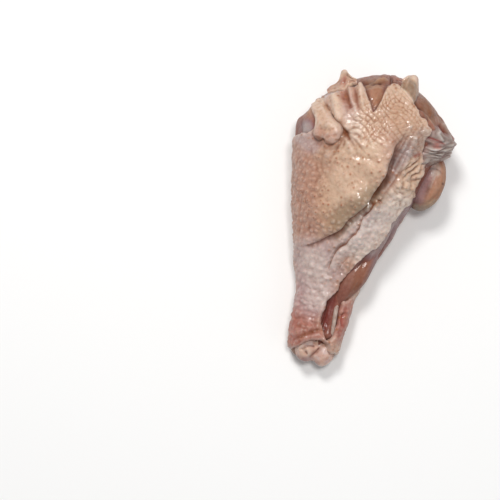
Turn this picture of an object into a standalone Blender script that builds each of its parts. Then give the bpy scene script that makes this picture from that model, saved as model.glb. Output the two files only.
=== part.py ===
"""Raw turkey drumstick, lying on its flattened underside with its skin side up.

The ankle end points towards -Y and the thick knee end towards +Y. The origin is at the middle
of the underside. Six pieces make it: the flesh, the skin that jackets it and is torn open in
places, the crumpled membrane on its right side, the tendon beside the shin, and the gristle of
the hock joint and of the knee joint.

A place on the leg is given by its station, the distance from the ankle end, and by across, the
distance to the right of a straight line that runs up the shin. Both are in millimetres.
"""

import math

import bmesh
import bpy
import numpy as np

MM = 0.001

# Driving sizes of the whole leg, in millimetres.
LEG_LENGTH = 214.0
SKIN_THICKNESS = 2.0
CLEARANCE = 0.3
ANKLE_ROUNDING = 11.0
KNEE_ROUNDING = 42.0
END_BLUNTNESS = 2.3
SECTION_SQUARENESS = 2.25
WIDEST_HEIGHT = 0.43
SUNK_SHARE = 0.07
SMALLEST_SHARE = 0.05
EDGE_SHARE = 0.995
BOX_MIDDLE_ACROSS = -1.75
BOX_MIDDLE_STATION = 105.75

# Sections of the leg over its skin: station, left edge, right edge, underside, height.
SECTIONS = np.array((
    (0, -20, 13, 1.5, 28),
    (12, -22.5, 14, 1.5, 32),
    (30, -24, 14, 3.0, 31),
    (48, -27, 15, 4.5, 32),
    (66, -33, 19, 4.0, 37),
    (84, -38.5, 26, 2.0, 45),
    (104, -45.5, 32, 0.3, 55),
    (126, -51, 38, 0, 64),
    (148, -55.5, 42, 0, 71),
    (166, -55.5, 45, 0, 74),
    (182, -51, 44, 0.5, 73),
    (198, -43, 37, 2.5, 68),
    (214, -35, 28, 6.0, 60),
), dtype=float)

# Low swellings of the muscle: station, angle up from the right side, height, half length,
# half angle.
SWELLINGS = (
    (175, 8, 8, 9, 28),
    (168, 182, 4, 14, 30),
    (201, 62, 4, 9, 18),
    (197, 118, 4, 9, 18),
    (186, -20, 4, 14, 30),
    (150, 205, 2, 26, 26),
)

# Muscle bellies that stand out of the leg: start and end, as across, station and height, then
# half width, half height and how blunt the ends are.
CALF_LOBE = ((43.5, 124.5, 27), (42.5, 163.5, 30), 12.5, 17.5, 0.34)
SHANK_BELLY = ((2.5, 43, 24), (21, 97, 24), 7.5, 11.5, 0.72)
BELLY_AROUND = 18
BELLY_ALONG = 12

# Rounded ends of the bones: middle and half size, as across, station and height.
HOCK_KNUCKLES = (
    ((-8.5, 9.5, 16.5), (7.5, 9.5, 11.0)),
    ((4.0, 9.0, 15.5), (6.8, 9.0, 10.0)),
    ((-2.0, 12.0, 14.0), (9.0, 8.0, 8.5)),
)
KNEE_KNUCKLES = (
    ((-12.0, 200.5, 26.0), (9.0, 9.5, 10.5)),
    ((6.5, 200.0, 25.5), (8.5, 9.5, 10.0)),
    ((-3.0, 199.0, 24.5), (10.0, 9.0, 10.0)),
)
KNEE_RECESS = ((-3.0, 219.0, 24.0), (20.0, 14.0, 14.0))
KNUCKLE_AROUND = 14
KNUCKLE_ALONG = 8
ANKLE_FLESH_END = 8.0

TENDON_PATH = ((5.6, 18, 22.5), (5.2, 25, 26.2), (4.6, 34, 27.5), (4.6, 43, 27.0), (5.4, 52, 23.0))
TENDON_RADIUS = 1.7
TENDON_TAPER = 4.0
TENDON_AROUND = 10
TENDON_ALONG = 16

AROUND = 36
ALONG = 40
CAP_ROWS = 5

FLESH_COLOUR = (0.56, 0.26, 0.18, 1.0)
SKIN_COLOUR = (0.76, 0.58, 0.42, 1.0)
MEMBRANE_COLOUR = (0.70, 0.56, 0.54, 1.0)
TENDON_COLOUR = (0.78, 0.70, 0.60, 1.0)
GRISTLE_COLOUR = (0.74, 0.64, 0.62, 1.0)
WET_ROUGHNESS = 0.32
BARE_ROUGHNESS = 0.22

# The line where the loose skin of the calf folds over the skin below it, from the knee down,
# and the line behind it where the fold has run out.
FOLD_LINE = (
    (18, 170), (14, 152), (13, 137), (11, 124), (5, 109), (-4, 97), (-17, 88), (-31, 80),
)
FOLD_BACK = (
    (-2, 184), (-14, 176), (-22, 166), (-30, 156), (-36, 146), (-40, 136), (-42, 122),
    (-41, 104),
)
FOLD_HEIGHT = 6.5
FOLD_LIP = 3.5
FOLD_ROUNDING = 0.16
FOLD_START = -0.4
FOLD_EDGE_SHARE = 0.25
FOLD_ROWS = 18
FOLD_COLUMNS = 8

# The tongue of skin that lies folded over on the left of the knee end.
TONGUE_LEFT = ((-49, 178), (-46, 166), (-40, 154))
TONGUE_RIGHT = ((-33, 182), (-34, 168), (-27, 155))
TONGUE_HEIGHT = 3.4
TONGUE_ROOT_SHARE = 0.45
TONGUE_SIDE_SHARE = 0.1
TONGUE_ROWS = 7
TONGUE_COLUMNS = 5

# Torn ends of the skin that stand off the knee end: the two ends of the root on the leg, as
# across and station, then the two ends of the tip, as across, station and height.
LEFT_FLAP = ((-40.0, 184.0), (-23.0, 190.5), (-38.5, 199.0, 55.0), (-30.0, 203.5, 60.0))
RIGHT_CURL = ((3.5, 200.0), (17.0, 192.5), (8.0, 210.5, 56.0), (17.5, 211.5, 54.0))
FLAP_CURL = 2.5
FLAP_ROWS = 7
FLAP_COLUMNS = 5
FLAP_THICKNESS = 2.0
PATCH_SINK = 1.2

# The crumpled membrane on the right side: stations, angles up from the right, depths.
MEMBRANE_STATIONS = (156.0, 177.5)
MEMBRANE_ANGLES = (-13.0, 27.5)
MEMBRANE_UNDERSIDE = 1.7
MEMBRANE_TOP = -0.5
MEMBRANE_CREASE = 0.7
MEMBRANE_CREASES = 4
MEMBRANE_SLANT = 0.6
MEMBRANE_CELLS = 12

# Edges of the skin seen from above, as across and station pairs.
SIDE_EDGE = (
    (35.5, 174), (35.5, 158), (36, 147), (34.5, 136), (34.5, 124), (29, 113), (21, 95),
    (13, 83), (8, 73), (3, 63), (0.5, 55), (2, 48), (9, 50), (16, 56),
)
KNEE_EDGE = (
    (-70, 180), (-52, 181), (-42, 189), (-31, 192), (-23, 197), (-12, 200), (-4, 203), (1, 205),
    (7, 203), (14, 197), (21, 190), (30, 181), (35.5, 174),
)
ANKLE_EDGE = (
    (-26, 5), (-17, 6), (-11.5, 10), (-8, 15), (-1, 17.5), (6, 15), (9, 10), (20, 7),
)
TEAR = ((-18.5, 201), (-18.5, 191), (-14, 184), (-8.5, 179.5), (-5.5, 184), (-4, 193), (-4, 204))
LEFT_HOLE = (
    (-63, 185), (-63, 155), (-54, 152), (-46, 158), (-43.5, 168), (-45, 180), (-50, 187),
)
SHIN_SLIT = ((-3.5, 33), (-2.5, 24), (2, 18), (7.5, 20.5), (8.2, 32), (7.6, 45), (4, 53), (-1.5, 46))
SIDE_OUTSIDE = ((90, 56), (90, 200), (33, 200))
KNEE_OUTSIDE = ((90, 174), (90, 240), (-70, 240))
ANKLE_OUTSIDE = ((20, -90), (-26, -90))
SIDE_CUT_HEIGHT = 15.0
ANKLE_CUT_HEIGHT = 13.0
TOP_CUT_HEIGHT = 40.0
LEFT_CUT_HEIGHT = 22.0
SHIN_CUT_HEIGHT = 12.0
ABOVE_ALL = 110.0
BELOW_ALL = -10.0
OUTSIDE = 90.0
ANKLE_SKIN_END = 5.0


def curve_through(stations, values, at):
    """Values at the asked stations, on a smooth curve through the given ones."""
    slopes = np.gradient(values, stations)
    cell = np.clip(np.searchsorted(stations, at) - 1, 0, len(stations) - 2)
    span = stations[cell + 1] - stations[cell]
    t = np.clip((at - stations[cell]) / span, 0.0, 1.0)
    start = (1 + 2 * t) * (1 - t) ** 2 * values[cell] + t * (1 - t) ** 2 * span * slopes[cell]
    end = t * t * (3 - 2 * t) * values[cell + 1] + t * t * (t - 1) * span * slopes[cell + 1]
    return start + end


def path_point(path, share):
    """A point at a share of the way along a smooth path through the given points."""
    path = np.array(path, dtype=float)
    knots = np.linspace(0.0, 1.0, len(path))
    at = np.array(share, dtype=float)
    return np.array([curve_through(knots, path[:, axis], at) for axis in range(path.shape[1])])


def end_rounding(station):
    """Share of the full section left at a station, falling to nothing at both ends."""
    into_ankle = np.clip((ANKLE_ROUNDING - station) / ANKLE_ROUNDING, 0, 1)
    into_knee = np.clip((station - LEG_LENGTH + KNEE_ROUNDING) / KNEE_ROUNDING, 0, 1)
    into = np.maximum(into_ankle, into_knee)
    return (1 - into ** END_BLUNTNESS) ** (1 / END_BLUNTNESS)


def section_at(station):
    """Middle across, middle height and the left, right, top and bottom reach of a section."""
    left, right, under, height = (
        curve_through(SECTIONS[:, 0], SECTIONS[:, column], station) for column in (1, 2, 3, 4)
    )
    across = (left + right) / 2
    rise = WIDEST_HEIGHT * (height - under)
    top = height - under - rise
    return across, under + rise, across - left, right - across, top, rise * (1 + SUNK_SHARE)


def swelling(station, angle):
    """Height that the muscles' swellings add at a station and an angle in radians."""
    added = np.zeros(np.broadcast(station, angle).shape)
    for middle_station, middle_angle, height, half_length, half_angle in SWELLINGS:
        turn = (np.degrees(angle) - middle_angle + 180) % 360 - 180
        added = added + height * np.exp(
            -((station - middle_station) / half_length) ** 2 - (turn / half_angle) ** 2
        )
    return added


def leg_point(station, angle, inset):
    """Points of the leg's surface, moved inwards by inset, as across, station and height."""
    station = np.asarray(station, dtype=float)
    across, middle, left, right, top, bottom = section_at(station)
    wide = np.where(np.cos(angle) > 0, right, left)
    tall = np.where(np.sin(angle) > 0, top, bottom)
    reach = (
        np.abs(np.cos(angle) / wide) ** SECTION_SQUARENESS
        + np.abs(np.sin(angle) / tall) ** SECTION_SQUARENESS
    ) ** (-1 / SECTION_SQUARENESS)
    share = end_rounding(station)
    reach = (reach + swelling(station, angle) - inset) * share
    towards_middle = inset * (1 - share) * np.where(station < LEG_LENGTH / 2, 1, -1)
    height = np.maximum(middle + reach * np.sin(angle), np.maximum(inset, 0))
    return np.stack((across + reach * np.cos(angle), station + towards_middle, height), axis=-1)


def angle_above(across_at, station):
    """The angle at which the leg's upper side lies over a place seen from above."""
    across, _, left, right, top, _ = section_at(np.asarray(station, dtype=float))
    share = np.maximum(end_rounding(station), SMALLEST_SHARE)
    offset = across_at - across
    wide = np.where(offset > 0, right, left) * share
    part = np.minimum(np.abs(offset) / wide, EDGE_SHARE)
    rise = top * share * (1 - part ** SECTION_SQUARENESS) ** (1 / SECTION_SQUARENESS)
    return np.arctan2(rise, np.clip(offset, -EDGE_SHARE * wide, EDGE_SHARE * wide))


def to_part_frame(points):
    """Across, station and height in millimetres to the part's own x, y and z in metres."""
    middle = np.array((BOX_MIDDLE_ACROSS, BOX_MIDDLE_STATION, 0.0))
    return (np.asarray(points) - middle) * MM


def row_stations():
    """Stations of the rings of the leg's mesh, closer together where its ends round off."""
    knee_rows = CAP_ROWS + 2
    ankle = [ANKLE_ROUNDING * (1 - math.cos(math.pi / 2 * k / CAP_ROWS)) for k in range(CAP_ROWS)]
    knee = [
        LEG_LENGTH - KNEE_ROUNDING * (1 - math.cos(math.pi / 2 * k / knee_rows))
        for k in range(knee_rows)
    ]
    between = np.linspace(
        ANKLE_ROUNDING, LEG_LENGTH - KNEE_ROUNDING, ALONG + 1 - CAP_ROWS - knee_rows
    )
    return np.array((*ankle, *between, *reversed(knee)))


def wet_material(name, colour, roughness=WET_ROUGHNESS):
    """A moist surface of one colour."""
    material = bpy.data.materials.new(name)
    material.use_nodes = True
    shader = material.node_tree.nodes["Principled BSDF"]
    shader.inputs["Base Color"].default_value = colour
    shader.inputs["Roughness"].default_value = roughness
    return material


def new_object(name, bm, material):
    """An object made of a closed bmesh, its faces pointing out, in the scene."""
    bmesh.ops.recalc_face_normals(bm, faces=bm.faces[:])
    if bm.calc_volume(signed=True) < 0:
        bmesh.ops.reverse_faces(bm, faces=bm.faces[:])
    mesh = bpy.data.meshes.new(name)
    bm.to_mesh(mesh)
    bm.free()
    mesh.materials.append(material)
    made = bpy.data.objects.new(name, mesh)
    bpy.context.scene.collection.objects.link(made)
    return made


def apply_boolean(target, tool, operation):
    """Cuts or joins the tool with the target for good."""
    step = target.modifiers.new(operation.title(), "BOOLEAN")
    step.operation = operation
    step.object = tool
    step.solver = "EXACT"
    evaluated = target.evaluated_get(bpy.context.evaluated_depsgraph_get())
    shaped = bpy.data.meshes.new_from_object(evaluated)
    target.modifiers.clear()
    target.data = shaped
    bpy.data.objects.remove(tool)


def joined(first, *others):
    """The first object with the others joined to it."""
    for other in others:
        apply_boolean(first, other, "UNION")
    return first


def mapped_sphere(name, around, along, place, material):
    """A closed body whose points place gives for a share of its length and an angle round it."""
    bm = bmesh.new()
    bmesh.ops.create_uvsphere(bm, u_segments=around, v_segments=along, radius=1.0)
    for vertex in bm.verts:
        share = math.acos(max(-1.0, min(1.0, vertex.co.z))) / math.pi
        vertex.co = to_part_frame(place(share, math.atan2(vertex.co.y, vertex.co.x)))
    bmesh.ops.triangulate(bm, faces=bm.faces[:], quad_method="FIXED")
    return new_object(name, bm, material)


def leg_layer(name, inset, material):
    """A closed body that follows the leg's surface at one depth."""
    stations = row_stations()

    def place(share, angle):
        return leg_point(stations[round(share * ALONG)], angle, inset)

    return mapped_sphere(name, AROUND, ALONG, place, material)


def belly(name, spec, grown, material):
    """A muscle belly that swells between its two ends, made larger all round by grown."""
    start, end, half_width, half_height, bluntness = spec
    start, end = np.array(start, dtype=float), np.array(end, dtype=float)
    axis = (end - start) / np.linalg.norm(end - start)
    side = np.cross(axis, (0.0, 0.0, 1.0))
    side /= np.linalg.norm(side)
    raised = np.cross(side, axis)

    def place(share, angle):
        along = (1 - math.cos(math.pi * share)) / 2
        full = math.sin(math.pi * along) ** bluntness if 0 < share < 1 else 0.0
        middle = start + (end - start) * along + axis * grown * (2 * along - 1)
        return (
            middle + side * (half_width + grown) * full * math.cos(angle)
            + raised * (half_height + grown) * full * math.sin(angle)
        )

    return mapped_sphere(name, BELLY_AROUND, BELLY_ALONG, place, material)


def knuckle(name, spec, grown, material):
    """One rounded end of a bone, made larger all round by grown."""
    middle, half = np.array(spec[0], dtype=float), np.array(spec[1], dtype=float)

    def place(share, angle):
        ring = math.sin(math.pi * share)
        towards = np.array((ring * math.cos(angle), ring * math.sin(angle), math.cos(math.pi * share)))
        return middle + (half + grown) * towards

    return mapped_sphere(name, KNUCKLE_AROUND, KNUCKLE_ALONG, place, material)


def knuckles(name, specs, grown, material):
    """The rounded ends of one joint as a single body."""
    made = [knuckle(f"{name}_{count}", spec, grown, material) for count, spec in enumerate(specs)]
    body = joined(*made)
    body.name = name
    return body


def cord(name, path, radius, material):
    """A round cord along a path, tapering to its two ends."""

    def place(share, angle):
        across, station, height = path_point(path, share)
        full = radius * min(1.0, math.sin(math.pi * share) * TENDON_TAPER)
        return across + full * math.cos(angle), station, height + full * math.sin(angle)

    return mapped_sphere(name, TENDON_AROUND, TENDON_ALONG, place, material)


def plan_prism(name, outline, low, high, material):
    """An upright block whose outline, seen from above, is the given across and station pairs."""
    bm = bmesh.new()
    corners = [bm.verts.new(to_part_frame((across, station, low))) for across, station in outline]
    base = bm.faces.new(corners)
    raised = bmesh.ops.extrude_face_region(bm, geom=[base])
    lifted = [item for item in raised["geom"] if isinstance(item, bmesh.types.BMVert)]
    bmesh.ops.translate(bm, verts=lifted, vec=(0, 0, (high - low) * MM))
    cutter = new_object(name, bm, material)
    cutter.hide_render = True
    cutter.display_type = "WIRE"
    return cutter


def rounded_outline(corners, steps=4):
    """A closed outline that curves smoothly through its corners."""
    corners = np.array(corners, dtype=float)
    count = len(corners)
    outline = []
    for k in range(count):
        before, here, after, beyond = (corners[(k + shift) % count] for shift in (-1, 0, 1, 2))
        for t in np.arange(steps) / steps:
            outline.append(
                0.5 * (2 * here + (after - before) * t
                       + (2 * before - 5 * here + 4 * after - beyond) * t * t
                       + (3 * here - before - 3 * after + beyond) * t ** 3)
            )
    return outline


def patch(name, rows, columns, place, material):
    """A closed sheet, place giving its points for shares along and over it and for each side."""
    bm = bmesh.new()
    bmesh.ops.create_grid(bm, x_segments=columns, y_segments=rows, size=0.5)
    raised = bmesh.ops.extrude_face_region(bm, geom=bm.faces[:])
    under = {item for item in raised["geom"] if isinstance(item, bmesh.types.BMVert)}
    for vertex in bm.verts:
        over, along = vertex.co.x + 0.5, vertex.co.y + 0.5
        vertex.co = to_part_frame(place(along, over, vertex in under))
    return new_object(name, bm, material)


def above_leg(across, station, proud):
    """A point that stands proud of the leg's upper side by a given height."""
    return leg_point(station, angle_above(across, station), -proud)


def fold_place(along, over, is_under):
    """A point of the calf's fold, round at its edge at over 0 and thinning out behind it."""
    front, back = path_point(FOLD_LINE, along), path_point(FOLD_BACK, along)
    inwards = back - front
    ends = math.sin(math.pi * (FOLD_EDGE_SHARE / 4 + (1 - FOLD_EDGE_SHARE / 2) * along))
    lip = FOLD_LIP * (1 - over) ** 4 * ends
    across, station = front + inwards * over - inwards / np.hypot(*inwards) * lip
    edge = min(1.0, over / FOLD_ROUNDING)
    rise = math.sqrt(max(0.0, 1 - (1 - edge) ** 2))
    high = FOLD_HEIGHT * math.sqrt(ends) * (FOLD_EDGE_SHARE + (1 - FOLD_EDGE_SHARE) * rise)
    proud = FOLD_START + high * (1 - over)
    return above_leg(across, station, -PATCH_SINK if is_under else proud)


def tongue_place(along, over, is_under):
    """A point of the tongue, round at its sides and thickest at its free end at along 1."""
    left, right = path_point(TONGUE_LEFT, along), path_point(TONGUE_RIGHT, along)
    across, station = left + (right - left) * over
    side = math.sin(math.pi * (TONGUE_SIDE_SHARE + (1 - 2 * TONGUE_SIDE_SHARE) * over))
    thick = TONGUE_ROOT_SHARE + (1 - TONGUE_ROOT_SHARE) * math.sqrt(along)
    proud = TONGUE_HEIGHT * math.sqrt(side) * thick
    return above_leg(across, station, -PATCH_SINK if is_under else proud)


def flap(name, spec, material):
    """A torn end of skin that rises off the knee end and curls up at its tip."""
    root_left, root_right, tip_left, tip_right = (np.array(corner) for corner in spec)

    def place(along, over, is_under):
        proud = -PATCH_SINK if is_under else FLAP_THICKNESS - PATCH_SINK
        root = above_leg(*(root_left + (root_right - root_left) * over), proud)
        tip = tip_left + (tip_right - tip_left) * over
        curl = FLAP_CURL * along ** 2 * (2 * over - 1) ** 2
        sunk = FLAP_THICKNESS if is_under else 0.0
        return root * (1 - along) + (tip + (0, 0, curl - sunk)) * along

    return patch(name, FLAP_ROWS, FLAP_COLUMNS, place, material)


def membrane_place(along, over, is_under):
    """A point of the crumpled membrane, its creases running from the skin's edge outwards."""
    station = MEMBRANE_STATIONS[0] + (MEMBRANE_STATIONS[1] - MEMBRANE_STATIONS[0]) * along
    angle = math.radians(MEMBRANE_ANGLES[0] + (MEMBRANE_ANGLES[1] - MEMBRANE_ANGLES[0]) * over)
    turns = MEMBRANE_CREASES * along + MEMBRANE_SLANT * over
    crease = MEMBRANE_CREASE * math.sin(2 * math.pi * turns)
    return leg_point(station, angle, MEMBRANE_UNDERSIDE if is_under else MEMBRANE_TOP + crease)


def below_station(station):
    """The outline, seen from above, of all that lies on the ankle's side of a station."""
    return ((-OUTSIDE, -OUTSIDE), (OUTSIDE, -OUTSIDE), (OUTSIDE, station), (-OUTSIDE, station))


def make_flesh(material):
    """The muscle, with the pockets and the groove that the gristle and the tendon lie in."""
    flesh = leg_layer("flesh", SKIN_THICKNESS + CLEARANCE, material)
    joined(
        flesh,
        belly("calf_lobe", CALF_LOBE, 0.0, material),
        belly("shank_belly", SHANK_BELLY, 0.0, material),
    )
    ankle_end = below_station(ANKLE_FLESH_END)
    for cutter in (
        plan_prism("cut_ankle_flesh", ankle_end, BELOW_ALL, ABOVE_ALL, material),
        knuckles("hock_pocket", HOCK_KNUCKLES, CLEARANCE, material),
        knuckle("knee_recess", KNEE_RECESS, 0.0, material),
        knuckles("knee_pocket", KNEE_KNUCKLES, CLEARANCE, material),
        cord("tendon_groove", TENDON_PATH, TENDON_RADIUS + CLEARANCE, material),
    ):
        apply_boolean(flesh, cutter, "DIFFERENCE")
    return flesh


def skin_cutters(material):
    """Blocks that take the skin away where it is torn, trimmed off or pushed aside."""
    side = (*SIDE_EDGE, *SIDE_OUTSIDE)
    knee = (*KNEE_EDGE, *KNEE_OUTSIDE)
    ankle_end = below_station(ANKLE_SKIN_END)
    ankle_top = (*ANKLE_EDGE, *ANKLE_OUTSIDE)
    return (
        plan_prism("cut_side", side, SIDE_CUT_HEIGHT, ABOVE_ALL, material),
        plan_prism("cut_knee", knee, BELOW_ALL, ABOVE_ALL, material),
        plan_prism("cut_tear", rounded_outline(TEAR), TOP_CUT_HEIGHT, ABOVE_ALL, material),
        plan_prism("cut_left", rounded_outline(LEFT_HOLE), LEFT_CUT_HEIGHT, ABOVE_ALL, material),
        plan_prism("cut_shin", rounded_outline(SHIN_SLIT), SHIN_CUT_HEIGHT, ABOVE_ALL, material),
        plan_prism("cut_ankle", ankle_end, BELOW_ALL, ABOVE_ALL, material),
        plan_prism("cut_ankle_top", ankle_top, ANKLE_CUT_HEIGHT, ABOVE_ALL, material),
        belly("calf_room", CALF_LOBE, CLEARANCE, material),
        belly("shank_room", SHANK_BELLY, CLEARANCE, material),
        knuckles("hock_room", HOCK_KNUCKLES, CLEARANCE, material),
    )


def make_skin(material):
    """The jacket of skin, open where it is torn, with its folds and loose ends."""
    skin = leg_layer("skin", 0.0, material)
    apply_boolean(skin, leg_layer("skin_inside", SKIN_THICKNESS, material), "DIFFERENCE")
    joined(
        skin,
        patch("fold", FOLD_ROWS, FOLD_COLUMNS, fold_place, material),
        patch("tongue", TONGUE_ROWS, TONGUE_COLUMNS, tongue_place, material),
    )
    for cutter in skin_cutters(material):
        apply_boolean(skin, cutter, "DIFFERENCE")
    return joined(
        skin,
        flap("left_flap", LEFT_FLAP, material),
        flap("right_curl", RIGHT_CURL, material),
    )


def make_membrane(material):
    """The crumpled membrane, clear of the calf's lobe."""
    membrane = patch("membrane", MEMBRANE_CELLS, MEMBRANE_CELLS, membrane_place, material)
    apply_boolean(membrane, belly("membrane_room", CALF_LOBE, CLEARANCE, material), "DIFFERENCE")
    return membrane


def remove_everything():
    """Empties the scene."""
    for found in list(bpy.data.objects):
        bpy.data.objects.remove(found)


def main():
    """Builds the drumstick."""
    remove_everything()
    gristle = wet_material("gristle_finish", GRISTLE_COLOUR, BARE_ROUGHNESS)
    sinew = wet_material("tendon_finish", TENDON_COLOUR, BARE_ROUGHNESS)
    pieces = (
        make_flesh(wet_material("flesh_finish", FLESH_COLOUR)),
        make_skin(wet_material("skin_finish", SKIN_COLOUR)),
        make_membrane(wet_material("membrane_finish", MEMBRANE_COLOUR)),
        cord("tendon", TENDON_PATH, TENDON_RADIUS, sinew),
        knuckles("hock_joint", HOCK_KNUCKLES, 0.0, gristle),
        knuckles("knee_joint", KNEE_KNUCKLES, 0.0, gristle),
    )
    for piece in pieces:
        piece.data.shade_smooth()


main()
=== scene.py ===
"""Dresses the drumstick: wet skin with its folds and pores, muscle, membrane, sinew and gristle.

A place on the leg is given in millimetres by across, to the right of a line up the shin, by
station, the distance from the ankle end, and by height over the floor. The finished meshes are
in the part's own metres.
"""

import logging
import math
from dataclasses import dataclass, field, replace
from enum import Enum
from typing import Iterable, NamedTuple, Optional, Sequence, Union

import bmesh
import bpy
import numpy as np
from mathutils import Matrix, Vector


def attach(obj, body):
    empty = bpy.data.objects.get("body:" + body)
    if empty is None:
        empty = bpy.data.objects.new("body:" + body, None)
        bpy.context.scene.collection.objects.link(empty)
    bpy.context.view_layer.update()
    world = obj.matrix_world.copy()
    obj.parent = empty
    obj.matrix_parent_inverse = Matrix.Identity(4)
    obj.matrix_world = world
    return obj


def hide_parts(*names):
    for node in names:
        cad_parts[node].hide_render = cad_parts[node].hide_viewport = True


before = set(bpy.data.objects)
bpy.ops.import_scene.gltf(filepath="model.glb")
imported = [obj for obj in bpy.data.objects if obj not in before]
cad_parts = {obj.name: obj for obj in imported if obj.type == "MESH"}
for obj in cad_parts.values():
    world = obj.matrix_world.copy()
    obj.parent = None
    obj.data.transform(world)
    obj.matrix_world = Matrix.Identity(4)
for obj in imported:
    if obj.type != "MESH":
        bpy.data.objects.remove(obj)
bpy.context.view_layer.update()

log = logging.getLogger("drumstick")
Array = np.ndarray
Corners = Sequence[Sequence[float]]
Pair = tuple[float, float]
Point = tuple[float, float, float]
Socket = bpy.types.NodeSocket
Tree = bpy.types.NodeTree
Material = bpy.types.Material
Mesh = bpy.types.Mesh
Thing = bpy.types.Object
BMesh = bmesh.types.BMesh

MM = 0.001
BODY = "root"
BOX_MIDDLE = np.array((-1.75, 105.75, 0.0))
EVERYWHERE = slice(None)
LATTICE = 64
TINY = 1e-9


# ---- small tools


def linear(hex_colour: str) -> tuple[float, float, float, float]:
    """Turns an sRGB hex colour to linear RGBA.

    Args:
        hex_colour: Six hex digits after a hash.

    Returns:
        The linear red, green and blue, and an alpha of one.
    """
    parts = [int(hex_colour[k:k + 2], 16) / 255 for k in (1, 3, 5)]
    curve = [c / 12.92 if c <= 0.04045 else ((c + 0.055) / 1.055) ** 2.4 for c in parts]
    return (curve[0], curve[1], curve[2], 1.0)


def to_part(points: Array) -> Array:
    """Turns across, station and height in millimetres to the part's metres."""
    return (np.asarray(points) - BOX_MIDDLE) * MM


def smooth(share: Array) -> Array:
    """An even ease from 0 to 1, flat at both ends."""
    part = np.clip(share, 0.0, 1.0)
    return part * part * (3 - 2 * part)


def hill(away: Array, width: float) -> Array:
    """A rounded hill, 1 in its middle and down to about a third at its width."""
    return np.exp(-(away / width) ** 2)


def curve_through(knots: Array, values: Array, at: Array) -> Array:
    """Reads a smooth curve through given values.

    Args:
        knots: Where the values stand, rising.
        values: The values there.
        at: Where to read the curve.

    Returns:
        The curve's values at the asked places.
    """
    slopes = np.gradient(values, knots)
    cell = np.clip(np.searchsorted(knots, at) - 1, 0, len(knots) - 2)
    span = knots[cell + 1] - knots[cell]
    t = np.clip((at - knots[cell]) / span, 0.0, 1.0)
    start = (1 + 2 * t) * (1 - t) ** 2 * values[cell] + t * (1 - t) ** 2 * span * slopes[cell]
    end = t * t * (3 - 2 * t) * values[cell + 1] + t * t * (t - 1) * span * slopes[cell + 1]
    return start + end


def line_at(corners: Corners, share: Array) -> Array:
    """Reads a smooth line through its corners.

    Args:
        corners: The corners, spread evenly over the line.
        share: Shares of the line.

    Returns:
        The line's points, one in a row.
    """
    table = np.array(corners, dtype=float)
    knots = np.linspace(0.0, 1.0, len(table))
    return np.stack([curve_through(knots, column, share) for column in table.T], axis=1)


def soft_noise(x: Array, y: Array, seed: int) -> Array:
    """Gives even random hills and hollows, one unit apart.

    Args:
        x: Places, in units of the hills' spacing.
        y: The same, the other way.
        seed: Seed of the hills.

    Returns:
        Heights between -1 and 1.
    """
    lattice = np.random.default_rng(seed).uniform(-1, 1, (LATTICE, LATTICE))
    column, row = np.floor(x).astype(int), np.floor(y).astype(int)
    u, v = (t ** 3 * (t * (t * 6 - 15) + 10) for t in (x - column, y - row))
    left, right = column % LATTICE, (column + 1) % LATTICE
    low, high = (
        lattice[k % LATTICE, left] * (1 - u) + lattice[k % LATTICE, right] * u
        for k in (row, row + 1)
    )
    return low * (1 - v) + high * v


class Hills(NamedTuple):
    """Random hills: how high they are, how far apart both ways, and their seed."""

    height: float
    across_mm: float
    along_mm: float
    seed: int


def hilly(x: Array, y: Array, *kinds: Hills) -> Array:
    """Adds up the heights of several kinds of hills."""
    return sum(kind.height * soft_noise(x / kind.across_mm, y / kind.along_mm, kind.seed)
               for kind in kinds)


class Cells(NamedTuple):
    """What the nearest of many scattered spots is like, seen from each place."""

    nearest: Array
    second: Array
    tag: Array


def scattered(x: Array, y: Array, seed: int, jitter: float = 0.8) -> Cells:
    """Measures to spots scattered one unit apart.

    Args:
        x: Places, in units of the spots' spacing.
        y: The same, the other way.
        seed: Seed of the scatter.
        jitter: How far a spot strays from its cell's middle.

    Returns:
        Distances to the two nearest spots, and a random number of the nearest.
    """
    rng = np.random.default_rng(seed)
    stray = rng.uniform(-0.5, 0.5, (LATTICE, LATTICE, 2)) * jitter + 0.5
    tags = rng.uniform(0, 1, (LATTICE, LATTICE))
    column, row = np.floor(x).astype(int), np.floor(y).astype(int)
    nearest, second, tag = (np.full(x.shape, value) for value in (9.0, 9.0, 0.0))
    for down in (-1, 0, 1):
        for right in (-1, 0, 1):
            j, i = (row + down) % LATTICE, (column + right) % LATTICE
            away = np.hypot(column + right + stray[j, i, 0] - x, row + down + stray[j, i, 1] - y)
            closer = away < nearest
            second = np.where(closer, nearest, np.minimum(second, away))
            tag = np.where(closer, tags[j, i], tag)
            nearest = np.where(closer, away, nearest)
    return Cells(nearest, second, tag)


class Measured(NamedTuple):
    """How places lie to a line: distance, left side positive, share along it, and its left."""

    distance: Array
    share: Array
    left_x: Array
    left_y: Array


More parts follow.
